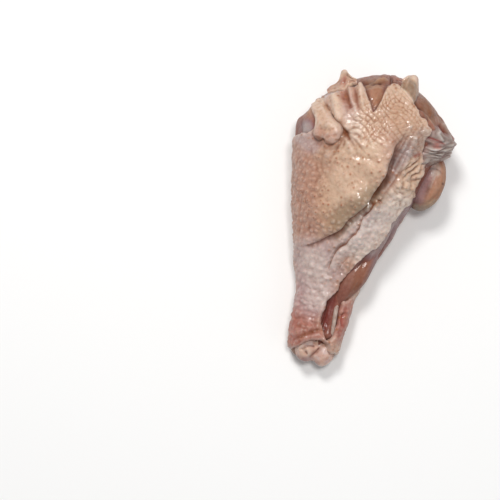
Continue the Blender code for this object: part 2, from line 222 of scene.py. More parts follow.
class Trail:
    """A smooth line over the leg, seen from above."""

    STEPS = 5

    def __init__(self, corners: Corners, closed: bool = False) -> None:
        """Draws the line.

        Args:
            corners: Its corners. A line of one corner is a spot.
            closed: Whether it runs back to its first corner.
        """
        given = np.array(corners, dtype=float)
        if len(given) == 1:
            given = np.vstack((given, given + (0.01, 0.0)))
        if closed:
            given = np.vstack((given, given[:1]))
        at = np.linspace(0.0, 1.0, (len(given) - 1) * self.STEPS + 1)
        self.points = line_at(given, at)
        self.low, self.high = self.points.min(axis=0), self.points.max(axis=0)

    def near(self, x: Array, y: Array, reach: float) -> Array:
        """Whether each place lies in the line's box grown by reach."""
        (x0, y0), (x1, y1) = self.low - reach, self.high + reach
        return (x > x0) & (x < x1) & (y > y0) & (y < y1)

    def measure(self, x: Array, y: Array) -> Measured:
        """Measures places to the line.

        Args:
            x: Places across.
            y: Their stations.

        Returns:
            Signed distances, shares of the length, and the line's left there.
        """
        steps = np.diff(self.points, axis=0)
        lengths = np.hypot(*steps.T)
        starts = np.concatenate(((0.0,), np.cumsum(lengths)[:-1])) / lengths.sum()
        best = np.full(x.shape, np.inf)
        share, side, left_x, left_y = (np.zeros(x.shape) for _ in range(4))
        for (ax, ay), (dx, dy), length, begun in zip(self.points, steps, lengths, starts):
            t = np.clip(((x - ax) * dx + (y - ay) * dy) / length ** 2, 0, 1)
            ex, ey = x - ax - t * dx, y - ay - t * dy
            away = ex * ex + ey * ey
            nearer = away < best
            best = np.where(nearer, away, best)
            share = np.where(nearer, begun + t * length / lengths.sum(), share)
            side = np.where(nearer, np.sign(dx * ey - dy * ex), side)
            left_x = np.where(nearer, -dy / length, left_x)
            left_y = np.where(nearer, dx / length, left_y)
        return Measured(np.sqrt(best) * np.where(side < 0, -1, 1), share, left_x, left_y)

    def depth_outside(self, x: Array, y: Array) -> Array:
        """Measures places to a closed line.

        Args:
            x: Places across.
            y: Their stations.

        Returns:
            Distances outside the line, negative inside it.
        """
        inside = np.zeros(x.shape, dtype=bool)
        for (ax, ay), (bx, by) in zip(self.points[:-1], self.points[1:]):
            if ay == by:
                continue
            crosses = (ay > y) != (by > y)
            inside ^= crosses & (x < (bx - ax) * (y - ay) / (by - ay) + ax)
        away = np.abs(self.measure(x, y).distance)
        return np.where(inside, -away, away)


# ---- the leg's form


@dataclass(frozen=True)
class LegForm:
    """The plain form of the leg over its skin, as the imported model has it."""

    length: float = 214.0
    ankle_rounding: float = 11.0
    knee_rounding: float = 42.0
    end_bluntness: float = 2.3
    squareness: float = 2.25
    widest_height: float = 0.43
    sunk_share: float = 0.07
    smallest_share: float = 0.05
    edge_share: float = 0.995
    # Station, left edge, right edge, underside and height of each section.
    sections: Corners = (
        (0, -20, 13, 1.5, 28), (12, -22.5, 14, 1.5, 32), (30, -24, 14, 3, 31),
        (48, -27, 15, 4.5, 32), (66, -33, 19, 4, 37), (84, -38.5, 26, 2, 45),
        (104, -45.5, 32, 0.3, 55), (126, -51, 38, 0, 64), (148, -55.5, 42, 0, 71),
        (166, -55.5, 45, 0, 74), (182, -51, 44, 0.5, 73), (198, -43, 37, 2.5, 68),
        (214, -35, 28, 6, 60),
    )
    # Station, angle up from the right, height, half length and half angle of each swelling.
    swellings: Corners = (
        (175, 8, 8, 9, 28), (168, 182, 4, 14, 30), (201, 62, 4, 9, 18), (197, 118, 4, 9, 18),
        (186, -20, 4, 14, 30), (150, 205, 2, 26, 26),
    )
    # Across and station of the knee end's outline seen from above, from the right to the left.
    knee_outline: Corners = (
        (60, 158), (55.5, 168), (52.5, 178), (49, 183.5), (44.5, 187.5), (37.5, 192),
        (32.5, 196.5), (25.5, 200.5), (17, 205), (8, 209), (0, 211.3), (-6, 210), (-15, 206.7),
        (-25, 201.5), (-34, 195), (-42, 188.5), (-48.5, 181.5), (-52.5, 176), (-55.5, 166),
        (-60, 158),
    )
    trim_middle: Pair = (-3.0, 158.0)
    trim_reach: float = 14.0
    trim_least: float = 0.8
    trim_stations: int = 60
    arc_turns: int = 240
    arc_stations: int = 108
    half_step: Pair = (0.5, 0.02)

    def end_share(self, station: Array) -> Array:
        """Finds how much of the full section is left near the ends.

        Args:
            station: Stations along the leg.

        Returns:
            Shares of the full section, falling to nothing at both ends.
        """
        ankle = np.clip((self.ankle_rounding - station) / self.ankle_rounding, 0, 1)
        knee = np.clip((station - self.length + self.knee_rounding) / self.knee_rounding, 0, 1)
        into = np.maximum(ankle, knee)
        return (1 - into ** self.end_bluntness) ** (1 / self.end_bluntness)

    def section(self, station: Array) -> tuple[Array, ...]:
        """Reads the leg's sections.

        Args:
            station: Stations along the leg.

        Returns:
            Middle across, middle height, and left, right, top and bottom reach.
        """
        table = np.array(self.sections, dtype=float)
        left, right, under, height = (
            curve_through(table[:, 0], table[:, column], station) for column in (1, 2, 3, 4)
        )
        across = (left + right) / 2
        rise = self.widest_height * (height - under)
        top, bottom = height - under - rise, rise * (1 + self.sunk_share)
        return across, under + rise, across - left, right - across, top, bottom

    def swelling(self, station: Array, angle: Array) -> Array:
        """Adds up the muscles' low swellings.

        Args:
            station: Stations along the leg.
            angle: Angles up from the right, in radians.

        Returns:
            The height that they add.
        """
        added = np.zeros(np.broadcast(station, angle).shape)
        for middle, middle_angle, height, half_length, half_angle in self.swellings:
            turn = (np.degrees(angle) - middle_angle + 180) % 360 - 180
            along = (station - middle) / half_length
            added = added + height * np.exp(-along ** 2 - (turn / half_angle) ** 2)
        return added

    def point(self, station: Array, angle: Array, inset: Array = 0.0) -> Array:
        """Finds points of the leg's surface, moved inwards.

        Args:
            station: Stations along the leg.
            angle: Angles up from the right, in radians.
            inset: Depth under the plain surface.

        Returns:
            Across, station and height of each point.
        """
        station = np.asarray(station, dtype=float)
        across, middle, left, right, top, bottom = self.section(station)
        wide = np.where(np.cos(angle) > 0, right, left)
        tall = np.where(np.sin(angle) > 0, top, bottom)
        power = self.squareness
        reach = (np.abs(np.cos(angle) / wide) ** power + np.abs(np.sin(angle) / tall) ** power)
        reach = reach ** (-1 / power)
        share = self.end_share(station)
        reach = (reach + self.swelling(station, angle) - inset) * share
        inwards = inset * (1 - share) * np.where(station < self.length / 2, 1, -1)
        height = np.maximum(middle + reach * np.sin(angle), np.maximum(inset, 0))
        x, y = self.trimmed(across + reach * np.cos(angle), station + inwards)
        return np.stack(np.broadcast_arrays(x, y, height), axis=-1)

    def trimmed(self, across: Array, station: Array) -> tuple[Array, Array]:
        """Draws the knee end in to its own outline, most at the rim.

        Args:
            across: Places across.
            station: Their stations.

        Returns:
            The places drawn in.
        """
        x0, y0 = self.trim_middle
        stations = np.linspace(y0, self.length, self.trim_stations)
        middle, _, left, right, _, _ = self.section(stations)
        share = self.end_share(stations)
        right_rim = middle + (right + self.swelling(stations, 0.0)) * share
        left_rim = middle - (left + self.swelling(stations, math.pi)) * share
        plain_x, plain_y = np.concatenate((right_rim, left_rim)) - x0, np.tile(stations - y0, 2)
        plain_turn, plain = np.arctan2(plain_y, plain_x), np.hypot(plain_x, plain_y)
        wanted_x, wanted_y = np.array(self.knee_outline).T
        wanted_turn = np.arctan2(wanted_y - y0, wanted_x - x0)
        wanted = np.hypot(wanted_x - x0, wanted_y - y0)
        x, y = np.broadcast_arrays(across - x0, station - y0)
        turn = np.clip(np.arctan2(y, x), 0, math.pi)
        order = np.argsort(plain_turn)
        rim = np.interp(turn, plain_turn[order], plain[order])
        ratio = np.clip(np.interp(turn, wanted_turn, wanted) / rim, self.trim_least, 1.0)
        rimward = np.clip(np.hypot(x, y) / rim, 0, 1) ** 2
        drawn = 1 - (1 - ratio) * rimward * smooth(y / self.trim_reach)
        return x0 + x * drawn, y0 + y * drawn

    def angle_over(self, across_at: Array, station: Array) -> Array:
        """Finds where the leg's upper side lies under places seen from above.

        Args:
            across_at: Places across.
            station: Their stations.

        Returns:
            Angles up from the right, in radians.
        """
        across, _, left, right, top, _ = self.section(np.asarray(station, dtype=float))
        share = np.maximum(self.end_share(station), self.smallest_share)
        offset = across_at - across
        wide = np.where(offset > 0, right, left) * share
        part = np.minimum(np.abs(offset) / wide, self.edge_share)
        rise = top * share * (1 - part ** self.squareness) ** (1 / self.squareness)
        edge = self.edge_share * wide
        return np.arctan2(rise, np.clip(offset, -edge, edge))

    def outwards(self, station: Array, angle: Array) -> Array:
        """Finds the directions out of the plain surface.

        Args:
            station: Stations along the leg.
            angle: Angles up from the right, in radians.

        Returns:
            Unit vectors.
        """
        step, turn = self.half_step
        along = self.point(station + step, angle) - self.point(station - step, angle)
        around = self.point(station, angle + turn) - self.point(station, angle - turn)
        out = np.cross(along, around)
        return out / np.maximum(np.linalg.norm(out, axis=-1, keepdims=True), TINY)

    def arc(self, station: Array, angle: Array) -> Array:
        """Measures distances round the leg's sections.

        Args:
            station: Stations along the leg.
            angle: Angles up from the right, in radians.

        Returns:
            Distances from the top, positive to the right.
        """
        turns = np.linspace(-math.pi / 2, 3 * math.pi / 2, self.arc_turns + 1)
        stations = np.linspace(0.0, self.length, self.arc_stations)
        ring = self.point(stations[:, None], turns[None, :])
        steps = np.linalg.norm(np.diff(ring, axis=1), axis=2)
        run = np.concatenate((np.zeros((len(stations), 1)), np.cumsum(steps, axis=1)), axis=1)
        top = self.arc_turns // 2
        run = run[:, top:top + 1] - run
        row = np.clip(station / self.length * (len(stations) - 1), 0, len(stations) - 1.001)
        column = np.clip((angle - turns[0]) / (turns[1] - turns[0]), 0, len(turns) - 1.001)
        i, j = row.astype(int), column.astype(int)
        u, v = row - i, column - j
        near = run[i, j] * (1 - v) + run[i, j + 1] * v
        return near * (1 - u) + (run[i + 1, j] * (1 - v) + run[i + 1, j + 1] * v) * u


LEG = LegForm()


class Places:
    """Many places on the leg at once."""

    UPPER_FROM, UPPER_BAND = -0.15, 0.4
    FLAT_HEIGHT, FLAT_BAND = 0.6, 7.0

    def __init__(self, station: Array, angle: Array) -> None:
        """Finds the plain points, their directions out and their distance round the leg.

        Args:
            station: Stations along the leg.
            angle: Angles up from the right, in radians.
        """
        self.station, self.angle = station, angle
        self.plain = LEG.point(station, angle)
        self.x, self.y, self.z = self.plain.T
        self.out = LEG.outwards(station, angle)
        self.arc = LEG.arc(station, angle)
        self.upper = smooth((self.out[:, 2] - self.UPPER_FROM) / self.UPPER_BAND)
        self.free = smooth((self.z - self.FLAT_HEIGHT) / self.FLAT_BAND)

    @classmethod
    def over(cls, across: Array, station: Array) -> "Places":
        """Finds the places of the upper side that lie under given ones.

        Args:
            across: Places across, seen from above.
            station: Their stations.

        Returns:
            The places on the leg.
        """
        x, y = np.array(across, dtype=float), np.array(station, dtype=float)
        for _ in range(3):
            found = LEG.point(y, LEG.angle_over(x, y))
            x, y = x + across - found[:, 0], y + station - found[:, 1]
        return cls(y, LEG.angle_over(x, y))

    def raised(self, rise: Array) -> Array:
        """The plain points moved out by their rise."""
        return self.plain + self.out * rise[:, None]


class FlatPlaces:
    """Points as seen from above, for features that are laid on a piece of its own form."""

    def __init__(self, points: Array, facing_up: Array) -> None:
        """Keeps the points and how far each one faces up."""
        self.x, self.y, self.z = points.T
        self.upper = smooth(facing_up)


# ---- relief


class Tone(Enum):
    """Colours that the skin and the flesh turn to in places, each a mesh attribute. The shade tone
    is painted shade in creases, hollows, slits, trenches and under edges; the white one also
    carries painted light on ridges.
    """

    CREAM = "tone_cream"
    PINK = "tone_pink"
    LAVENDER = "tone_lavender"
    OLIVE = "tone_olive"
    # Painted shade, laid where shade falls: creases, hollows, slits, trenches and under edges and
    # folds.
    SHADE = "tone_shade"
    BLOOD = "tone_blood"
    PORE = "tone_pore"
    GREY = "tone_grey"
    BROWN = "tone_brown"
    # The pale colour of fat, membrane and gristle, and also painted light on ridges.
    WHITE = "tone_white"


CREAM, PINK, LAVENDER, OLIVE, SHADE, BLOOD, PORE, GREY, BROWN, WHITE = Tone


class Relief:
    """How far each place rises out of the plain surface, is pushed sideways, and is coloured."""

    def __init__(self, count: int) -> None:
        """Starts flat and plain."""
        self.rise = np.zeros(count)
        self.push = np.zeros((count, 2))
        self.tones = {tone: np.zeros(count) for tone in Tone}

    def tint(self, tone: Tone, amount: Array, where: Union[slice, Array] = EVERYWHERE) -> None:
        """Adds a colour, never past its full strength."""
        values = self.tones[tone]
        values[where] = 1 - (1 - values[where]) * (1 - np.clip(amount, 0, 1))


SomePlaces = Union[Places, FlatPlaces]


class Feature:
    """Something that is laid on a piece's surface."""

    def apply(self, places: SomePlaces, made: Relief) -> None:
        """Lays it on.

        Args:
            places: Where on the piece.
            made: The relief that it is added to.
        """
        raise NotImplementedError


@dataclass(frozen=True)
class Stroke(Feature):
    """A ridge, or a crease where its height is negative, along a line."""

    path: Corners
    width: float
    height: float
    tone: Optional[Tone] = None
    amount: float = 0.0
    shade: float = 0.0
    fade: float = 0.2

    def apply(self, places: SomePlaces, made: Relief) -> None:
        """Lays on the ridge or crease, its colour and its painted shade, fading at both ends."""
        trail = Trail(self.path)
        near = trail.near(places.x, places.y, 3 * self.width)
        if not near.any():
            return
        found = trail.measure(places.x[near], places.y[near])
        body = hill(found.distance, self.width) * places.upper[near]
        if self.fade > 0:
            body *= smooth(np.minimum(found.share, 1 - found.share) / self.fade + 0.25)
        made.rise[near] += self.height * body
        made.tint(SHADE, self.shade * body, near)
        if self.tone:
            made.tint(self.tone, self.amount * body, near)


@dataclass(frozen=True)
class Wash(Feature):
    """A soft patch of one colour along a line."""

    tone: Tone
    path: Corners
    reach: float
    amount: float
    above: float = -10.0

    def apply(self, places: SomePlaces, made: Relief) -> None:
        """Lays the patch on."""
        weight = band(places, self.path, self.reach) * smooth((places.z - self.above) / 4)
        made.tint(self.tone, self.amount * weight)


def band(places: SomePlaces, path: Corners, reach: float) -> Array:
    """Finds how close places of the upper side lie to a line.

    Args:
        places: The places.
        path: The line's corners.
        reach: How far from the line the band ends.

    Returns:
        Weights from 1 on the line to 0 at its reach.
    """
    weight = np.zeros(places.x.shape)
    trail = Trail(path)
    near = trail.near(places.x, places.y, reach)
    away = np.abs(trail.measure(places.x[near], places.y[near]).distance)
    weight[near] = smooth(1.6 * (1 - away / reach)) * places.upper[near]
    return weight


@dataclass(frozen=True)
class Fold(Feature):
    """Loose skin that rolls over along a line and hides a trench beside it."""

    path: Corners
    height: float
    run: float
    roll: float
    lip: float
    trench: float
    trench_width: float
    side: int
    fade_start: float = 0.15
    fade_end: float = 0.15
    shade: float = 0.7
    tuck: float = math.radians(65)
    waver: float = 0.9
    waver_mm: float = 7.0
    uneven: float = 0.35

    def profile(self, inside: Array) -> tuple[Array, Array]:
        """Works out the fold's section.

        Args:
            inside: Distances in from the fold's line, on the loose side.

        Returns:
            How high the skin stands there, and how far it hangs over the line.
        """
        radius = self.height / (1 + math.sin(self.tuck))
        turn = -self.tuck + (math.pi / 2 + self.tuck) * np.clip(inside / self.roll, 0, 1)
        rolled = radius * (np.sin(turn) + math.sin(self.tuck))
        pushed = -self.roll + radius * np.cos(turn) + self.lip + np.maximum(inside, 0)
        left_over = 1 - smooth((inside - self.roll) / (self.run - self.roll))
        rise = np.where(inside < self.roll, rolled, self.height * left_over)
        push = np.where(inside < self.roll, pushed, self.lip * left_over)
        push = push * hill(np.minimum(inside, 0), self.trench_width)
        return np.where(inside < 0, 0.0, rise), push

    def apply(self, places: Places, made: Relief) -> None:
        """Lays on the roll, its overhang and the trench, with painted shade in the trench."""
        trail = Trail(self.path)
        near = trail.near(places.x, places.y, self.run + 6)
        x, y = places.x[near], places.y[near]
        found = trail.measure(x, y)
        wavers = soft_noise(x / self.waver_mm, y / self.waver_mm, 14)
        inside = found.distance * self.side + self.waver * wavers
        ends = smooth(found.share / self.fade_start) * smooth((1 - found.share) / self.fade_end)
        ends = ends * places.upper[near]
        ends = ends * (1 + self.uneven * soft_noise(found.share * 9, wavers * 0, 15))
        rise, push = self.profile(inside)
        hollow = hill(inside + 0.6 * self.trench_width, self.trench_width)
        made.rise[near] += (rise - self.trench * hollow) * ends
        made.push[near, 0] -= push * ends * found.left_x * self.side
        made.push[near, 1] -= push * ends * found.left_y * self.side
        dark = self.shade * hill(inside + 0.2, 0.6 * self.trench_width)
        made.tint(SHADE, dark * ends, near)


def lay_on(features: Iterable[Feature], places: SomePlaces, made: Relief) -> None:
    """Lays features on a relief, one after the other."""
    for feature in features:
        feature.apply(places, made)


# ---- mesh making

# Hollows are painted darker as painted shade, and ridges paler as painted light.
FINE_ROUNDS, FINE_DEPTH = 10, 0.36
BROAD_ROUNDS, BROAD_DEPTH = 70, 1.1
RIDGE_HEIGHT = 0.25
HOLLOW_SHADE = 0.5


def new_piece(name: str, mesh: Mesh, material: Material,
              replaced: Iterable[str], slot: str) -> Thing:
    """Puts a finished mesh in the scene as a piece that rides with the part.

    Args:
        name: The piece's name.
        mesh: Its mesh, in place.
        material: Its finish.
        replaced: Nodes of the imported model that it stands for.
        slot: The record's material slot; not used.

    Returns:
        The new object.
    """
    mesh.shade_smooth()
    mesh.materials.clear()
    mesh.materials.append(material)
    made = bpy.data.objects.new(name, mesh)
    bpy.context.scene.collection.objects.link(made)
    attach(made, BODY)
    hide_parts(*replaced)
    log.info("%s: %d faces", name, len(mesh.polygons))
    return made


def read_points(bm: BMesh) -> Array:
    """The vertices' places as rows."""
    return np.array([vertex.co[:] for vertex in bm.verts], dtype=float).reshape(-1, 3)


def write_points(bm: BMesh, points: Array) -> None:
    """Moves the vertices to places given in millimetres on the leg."""
    for vertex, place in zip(bm.verts, to_part(points)):
        vertex.co = place


def grid(columns: int, rows: int) -> BMesh:
    """A flat grid one unit wide, its middle at the origin."""
    bm = bmesh.new()
    bmesh.ops.create_grid(bm, x_segments=columns, y_segments=rows, size=0.5)
    return bm


def face_outwards(bm: BMesh) -> None:
    """Turns the faces of a closed shape outwards."""
    bmesh.ops.recalc_face_normals(bm, faces=bm.faces[:])
    if bm.calc_volume(signed=True) < 0:
        bmesh.ops.reverse_faces(bm, faces=bm.faces[:])


def drop_faces(bm: BMesh, outside: Array) -> None:
    """Deletes the faces that lie outside an edge.

    Args:
        bm: The sheet.
        outside: How far each vertex lies outside the edge.
    """
    bm.faces.ensure_lookup_table()
    corners = np.array([[vertex.index for vertex in face.verts] for face in bm.faces])
    gone = [bm.faces[k] for k in np.flatnonzero(outside[corners].mean(axis=1) > 0)]
    bmesh.ops.delete(bm, geom=gone, context="FACES")


def vertices_of(edges: Iterable[bmesh.types.BMEdge]) -> list[bmesh.types.BMVert]:
    """The vertices of some edges, each one once."""
    return list({vertex for edge in edges for vertex in edge.verts})


def extrude_rim(bm: BMesh, rim: list[bmesh.types.BMEdge]) -> Array:
    """Extrudes a rim of a flat sheet.

    Args:
        bm: The sheet, flat at height 0.
        rim: The rim's edges.

    Returns:
        The sheet's points. The extruded ones stand at height 1.
    """
    for item in bmesh.ops.extrude_edge_only(bm, edges=rim)["geom"]:
        if isinstance(item, bmesh.types.BMVert):
            item.co.z = 1.0
    return read_points(bm)


def hollows(mesh: Mesh, rounds: int) -> Array:
    """Measures how deep each vertex lies under the evened surface round it.

    Args:
        mesh: The mesh.
        rounds: How many times the surface is evened. More reach further.

    Returns:
        Depths in millimetres, negative on ridges.
    """
    count = len(mesh.vertices)
    places, normals = np.empty(count * 3), np.empty(count * 3)
    mesh.vertices.foreach_get("co", places)
    mesh.vertex_normals.foreach_get("vector", normals)
    places, normals = places.reshape(-1, 3) / MM, normals.reshape(-1, 3)
    ends = np.empty(len(mesh.edges) * 2, dtype=np.int32)
    mesh.edges.foreach_get("vertices", ends)
    first, second = ends.reshape(-1, 2).T
    neighbours = np.bincount(first, minlength=count) + np.bincount(second, minlength=count)
    even = places.copy()
    for _ in range(rounds):
        for axis in range(3):
            total = np.bincount(first, even[second, axis], count)
            total += np.bincount(second, even[first, axis], count)
            even[:, axis] = (even[:, axis] + total / np.maximum(neighbours, 1)) / 2
    return ((even - places) * normals).sum(axis=1)


def shade_hollows(mesh: Mesh, tones: dict[Tone, Array], painted_ridge_light: float) -> None:
    """Paints shade into the hollows of a mesh, less where it is bluish, and paints light on its
    ridges, which turn paler.

    Args:
        mesh: The mesh.
        tones: One value a vertex for each colour. The shade and the white are changed.
        painted_ridge_light: How far the ridges turn white, as painted light.
    """
    fine, broad = hollows(mesh, FINE_ROUNDS), hollows(mesh, BROAD_ROUNDS)
    dark = 1 - HOLLOW_SHADE * smooth(fine / FINE_DEPTH)
    dark = dark * (1 - HOLLOW_SHADE * smooth(broad / BROAD_DEPTH))
    # Less brown painted shade where the tone is bluish.
    bluish = np.clip(0.85 * tones[GREY] + 0.5 * tones[LAVENDER], 0, 0.9)
    drawn = tones[SHADE] * (1 - 0.4 * bluish)
    tones[SHADE] = 1 - (1 - drawn) * (dark + (1 - dark) * bluish)
    # Painted light: the ridges turn paler, a little more on lavender skin.
    ridge_light = (painted_ridge_light + 0.05 * tones[LAVENDER]) * smooth(-fine / RIDGE_HEIGHT)
    tones[WHITE] = 1 - (1 - tones[WHITE]) * (1 - ridge_light)


def mesh_of(name: str, bm: BMesh, made: Relief, painted_ridge_light: float = 0.2,
            weld: bool = False) -> Mesh:
    """Makes a mesh of a bmesh, with its colour attributes, its painted shade in hollows and its
    painted light on ridges.

    Args:
        name: The mesh's name.
        bm: The shape. It is freed.
        made: Its relief, for the colours.
        painted_ridge_light: How far the ridges turn white, as painted light.
        weld: Whether vertices that lie on each other, at a seam or a pole, are merged.

    Returns:
        The mesh.
    """
    mesh = bpy.data.meshes.new(name)
    bm.to_mesh(mesh)
    bm.free()
    shade_hollows(mesh, made.tones, painted_ridge_light)
    for tone, values in made.tones.items():
        if values.any():
            attribute = mesh.attributes.new(tone.value, "FLOAT", "POINT")
            attribute.data.foreach_set("value", values.astype(np.float32))
    if weld:
        again = bmesh.new()
        again.from_mesh(mesh)
        bmesh.ops.remove_doubles(again, verts=again.verts[:], dist=1e-6)
        again.to_mesh(mesh)
        again.free()
    return mesh


class Piece:
    """A piece of the drumstick. A subclass gives its name, node and slot, and its mesh."""

    name: str
    node: str
    slot: str

    def shape(self) -> Mesh:
        """Makes the piece's mesh.

        Returns:
            The mesh.
        """
        raise NotImplementedError

    def build(self, material: Material) -> Thing:
        """Makes the piece and dresses it."""
        return new_piece(self.name, self.shape(), material, (self.node,), self.slot)


class ClosedSheet(Piece):
    """A closed sheet with a top and an underside, placed by a function of its shares."""

    columns: int
    rows: int

    def place(self, along: Array, over: Array, is_under: Array) -> tuple[Array, Relief]:
        """Places the sheet's points.

        Args:
            along: Shares along the sheet.
            over: Shares over its width.
            is_under: Whether a point is of the underside.

        Returns:
            The points in millimetres, and their relief.
        """
        raise NotImplementedError

    def shape(self) -> Mesh:
        """Makes the sheet's mesh from a grid with a double underneath."""
        bm = grid(self.columns, self.rows)
        raised = bmesh.ops.extrude_face_region(bm, geom=bm.faces[:])
        under = {item for item in raised["geom"] if isinstance(item, bmesh.types.BMVert)}
        is_under = np.array([vertex in under for vertex in bm.verts])
        shares = read_points(bm)
        points, made = self.place(shares[:, 1] + 0.5, shares[:, 0] + 0.5, is_under)
        write_points(bm, points)
        face_outwards(bm)
        return mesh_of(self.name, bm, made)

    def build(self, material: Material) -> Thing:
        """Makes the sheet, dresses it and rounds it."""
        made = super().build(material)
        rounding = made.modifiers.new("Rounded", "SUBSURF")
        rounding.levels = rounding.render_levels = 1
        return made


class RoundedBody(Piece):
    """A closed body with two poles, placed by a function of its length and an angle."""

    sides: int
    rings: int

    def place(self, share: Array, angle: Array) -> tuple[Array, Relief]:
        """Places the body's points.

        Args:
            share: Shares of the length, from pole to pole.
            angle: Angles round it, in radians.

        Returns:
            The points in millimetres, and their relief.
        """
        raise NotImplementedError

    def shape(self) -> Mesh:
        """Makes the body's mesh from a ball."""
        bm = bmesh.new()
        bmesh.ops.create_uvsphere(bm, u_segments=self.sides, v_segments=self.rings, radius=1.0)
        ball = read_points(bm)
        share = np.arccos(np.clip(ball[:, 2], -1, 1)) / math.pi
        points, made = self.place(share, np.arctan2(ball[:, 1], ball[:, 0]))
        write_points(bm, points)
        face_outwards(bm)
        return mesh_of(self.name, bm, made, painted_ridge_light=0.05)


# ---- materials


def add_node(tree: Tree, kind: str, inputs: Optional[dict] = None,
             **settings: object) -> bpy.types.Node:
    """Adds a node with its settings, values and links.

    Args:
        tree: The material's node tree.
        kind: The node's type.
        inputs: For a socket's name or number, its value or the socket that feeds it.
        **settings: The node's own settings.

    Returns:
        The node.
    """
    node = tree.nodes.new(kind)
    for name, value in settings.items():
        setattr(node, name, value)
    for name, value in (inputs or {}).items():
        if isinstance(value, Socket):
            tree.links.new(value, node.inputs[name])
        else:
            node.inputs[name].default_value = value
    return node


MIX_SHARE, MIX_FIRST, MIX_SECOND = 0, 6, 7
MIXED_COLOUR = 2


def blended(tree: Tree, share: object, first: object, second: object,
            mode: str = "MIX") -> Socket:
    """Mixes two colours.

    Args:
        tree: The material's node tree.
        share: Share of the second colour, a number or a socket.
        first: The first colour, a value or a socket.
        second: The second one.
        mode: How they are mixed.

    Returns:
        The mixed colour.
    """
    inputs = {MIX_SHARE: share, MIX_FIRST: first, MIX_SECOND: second}
    node = add_node(tree, "ShaderNodeMix", inputs, data_type="RGBA", blend_type=mode)
    return node.outputs[MIXED_COLOUR]


def ranged(tree: Tree, value: Socket, taken: Pair,
           given: Pair) -> Socket:
    """Turns one range of numbers to another.

    Args:
        tree: The material's node tree.
        value: The number.
        taken: Its range.
        given: The range that it is turned to.

    Returns:
        The new number.
    """
    inputs = {"Value": value, "From Min": taken[0], "From Max": taken[1],
              "To Min": given[0], "To Max": given[1]}
    return add_node(tree, "ShaderNodeMapRange", inputs).outputs["Result"]


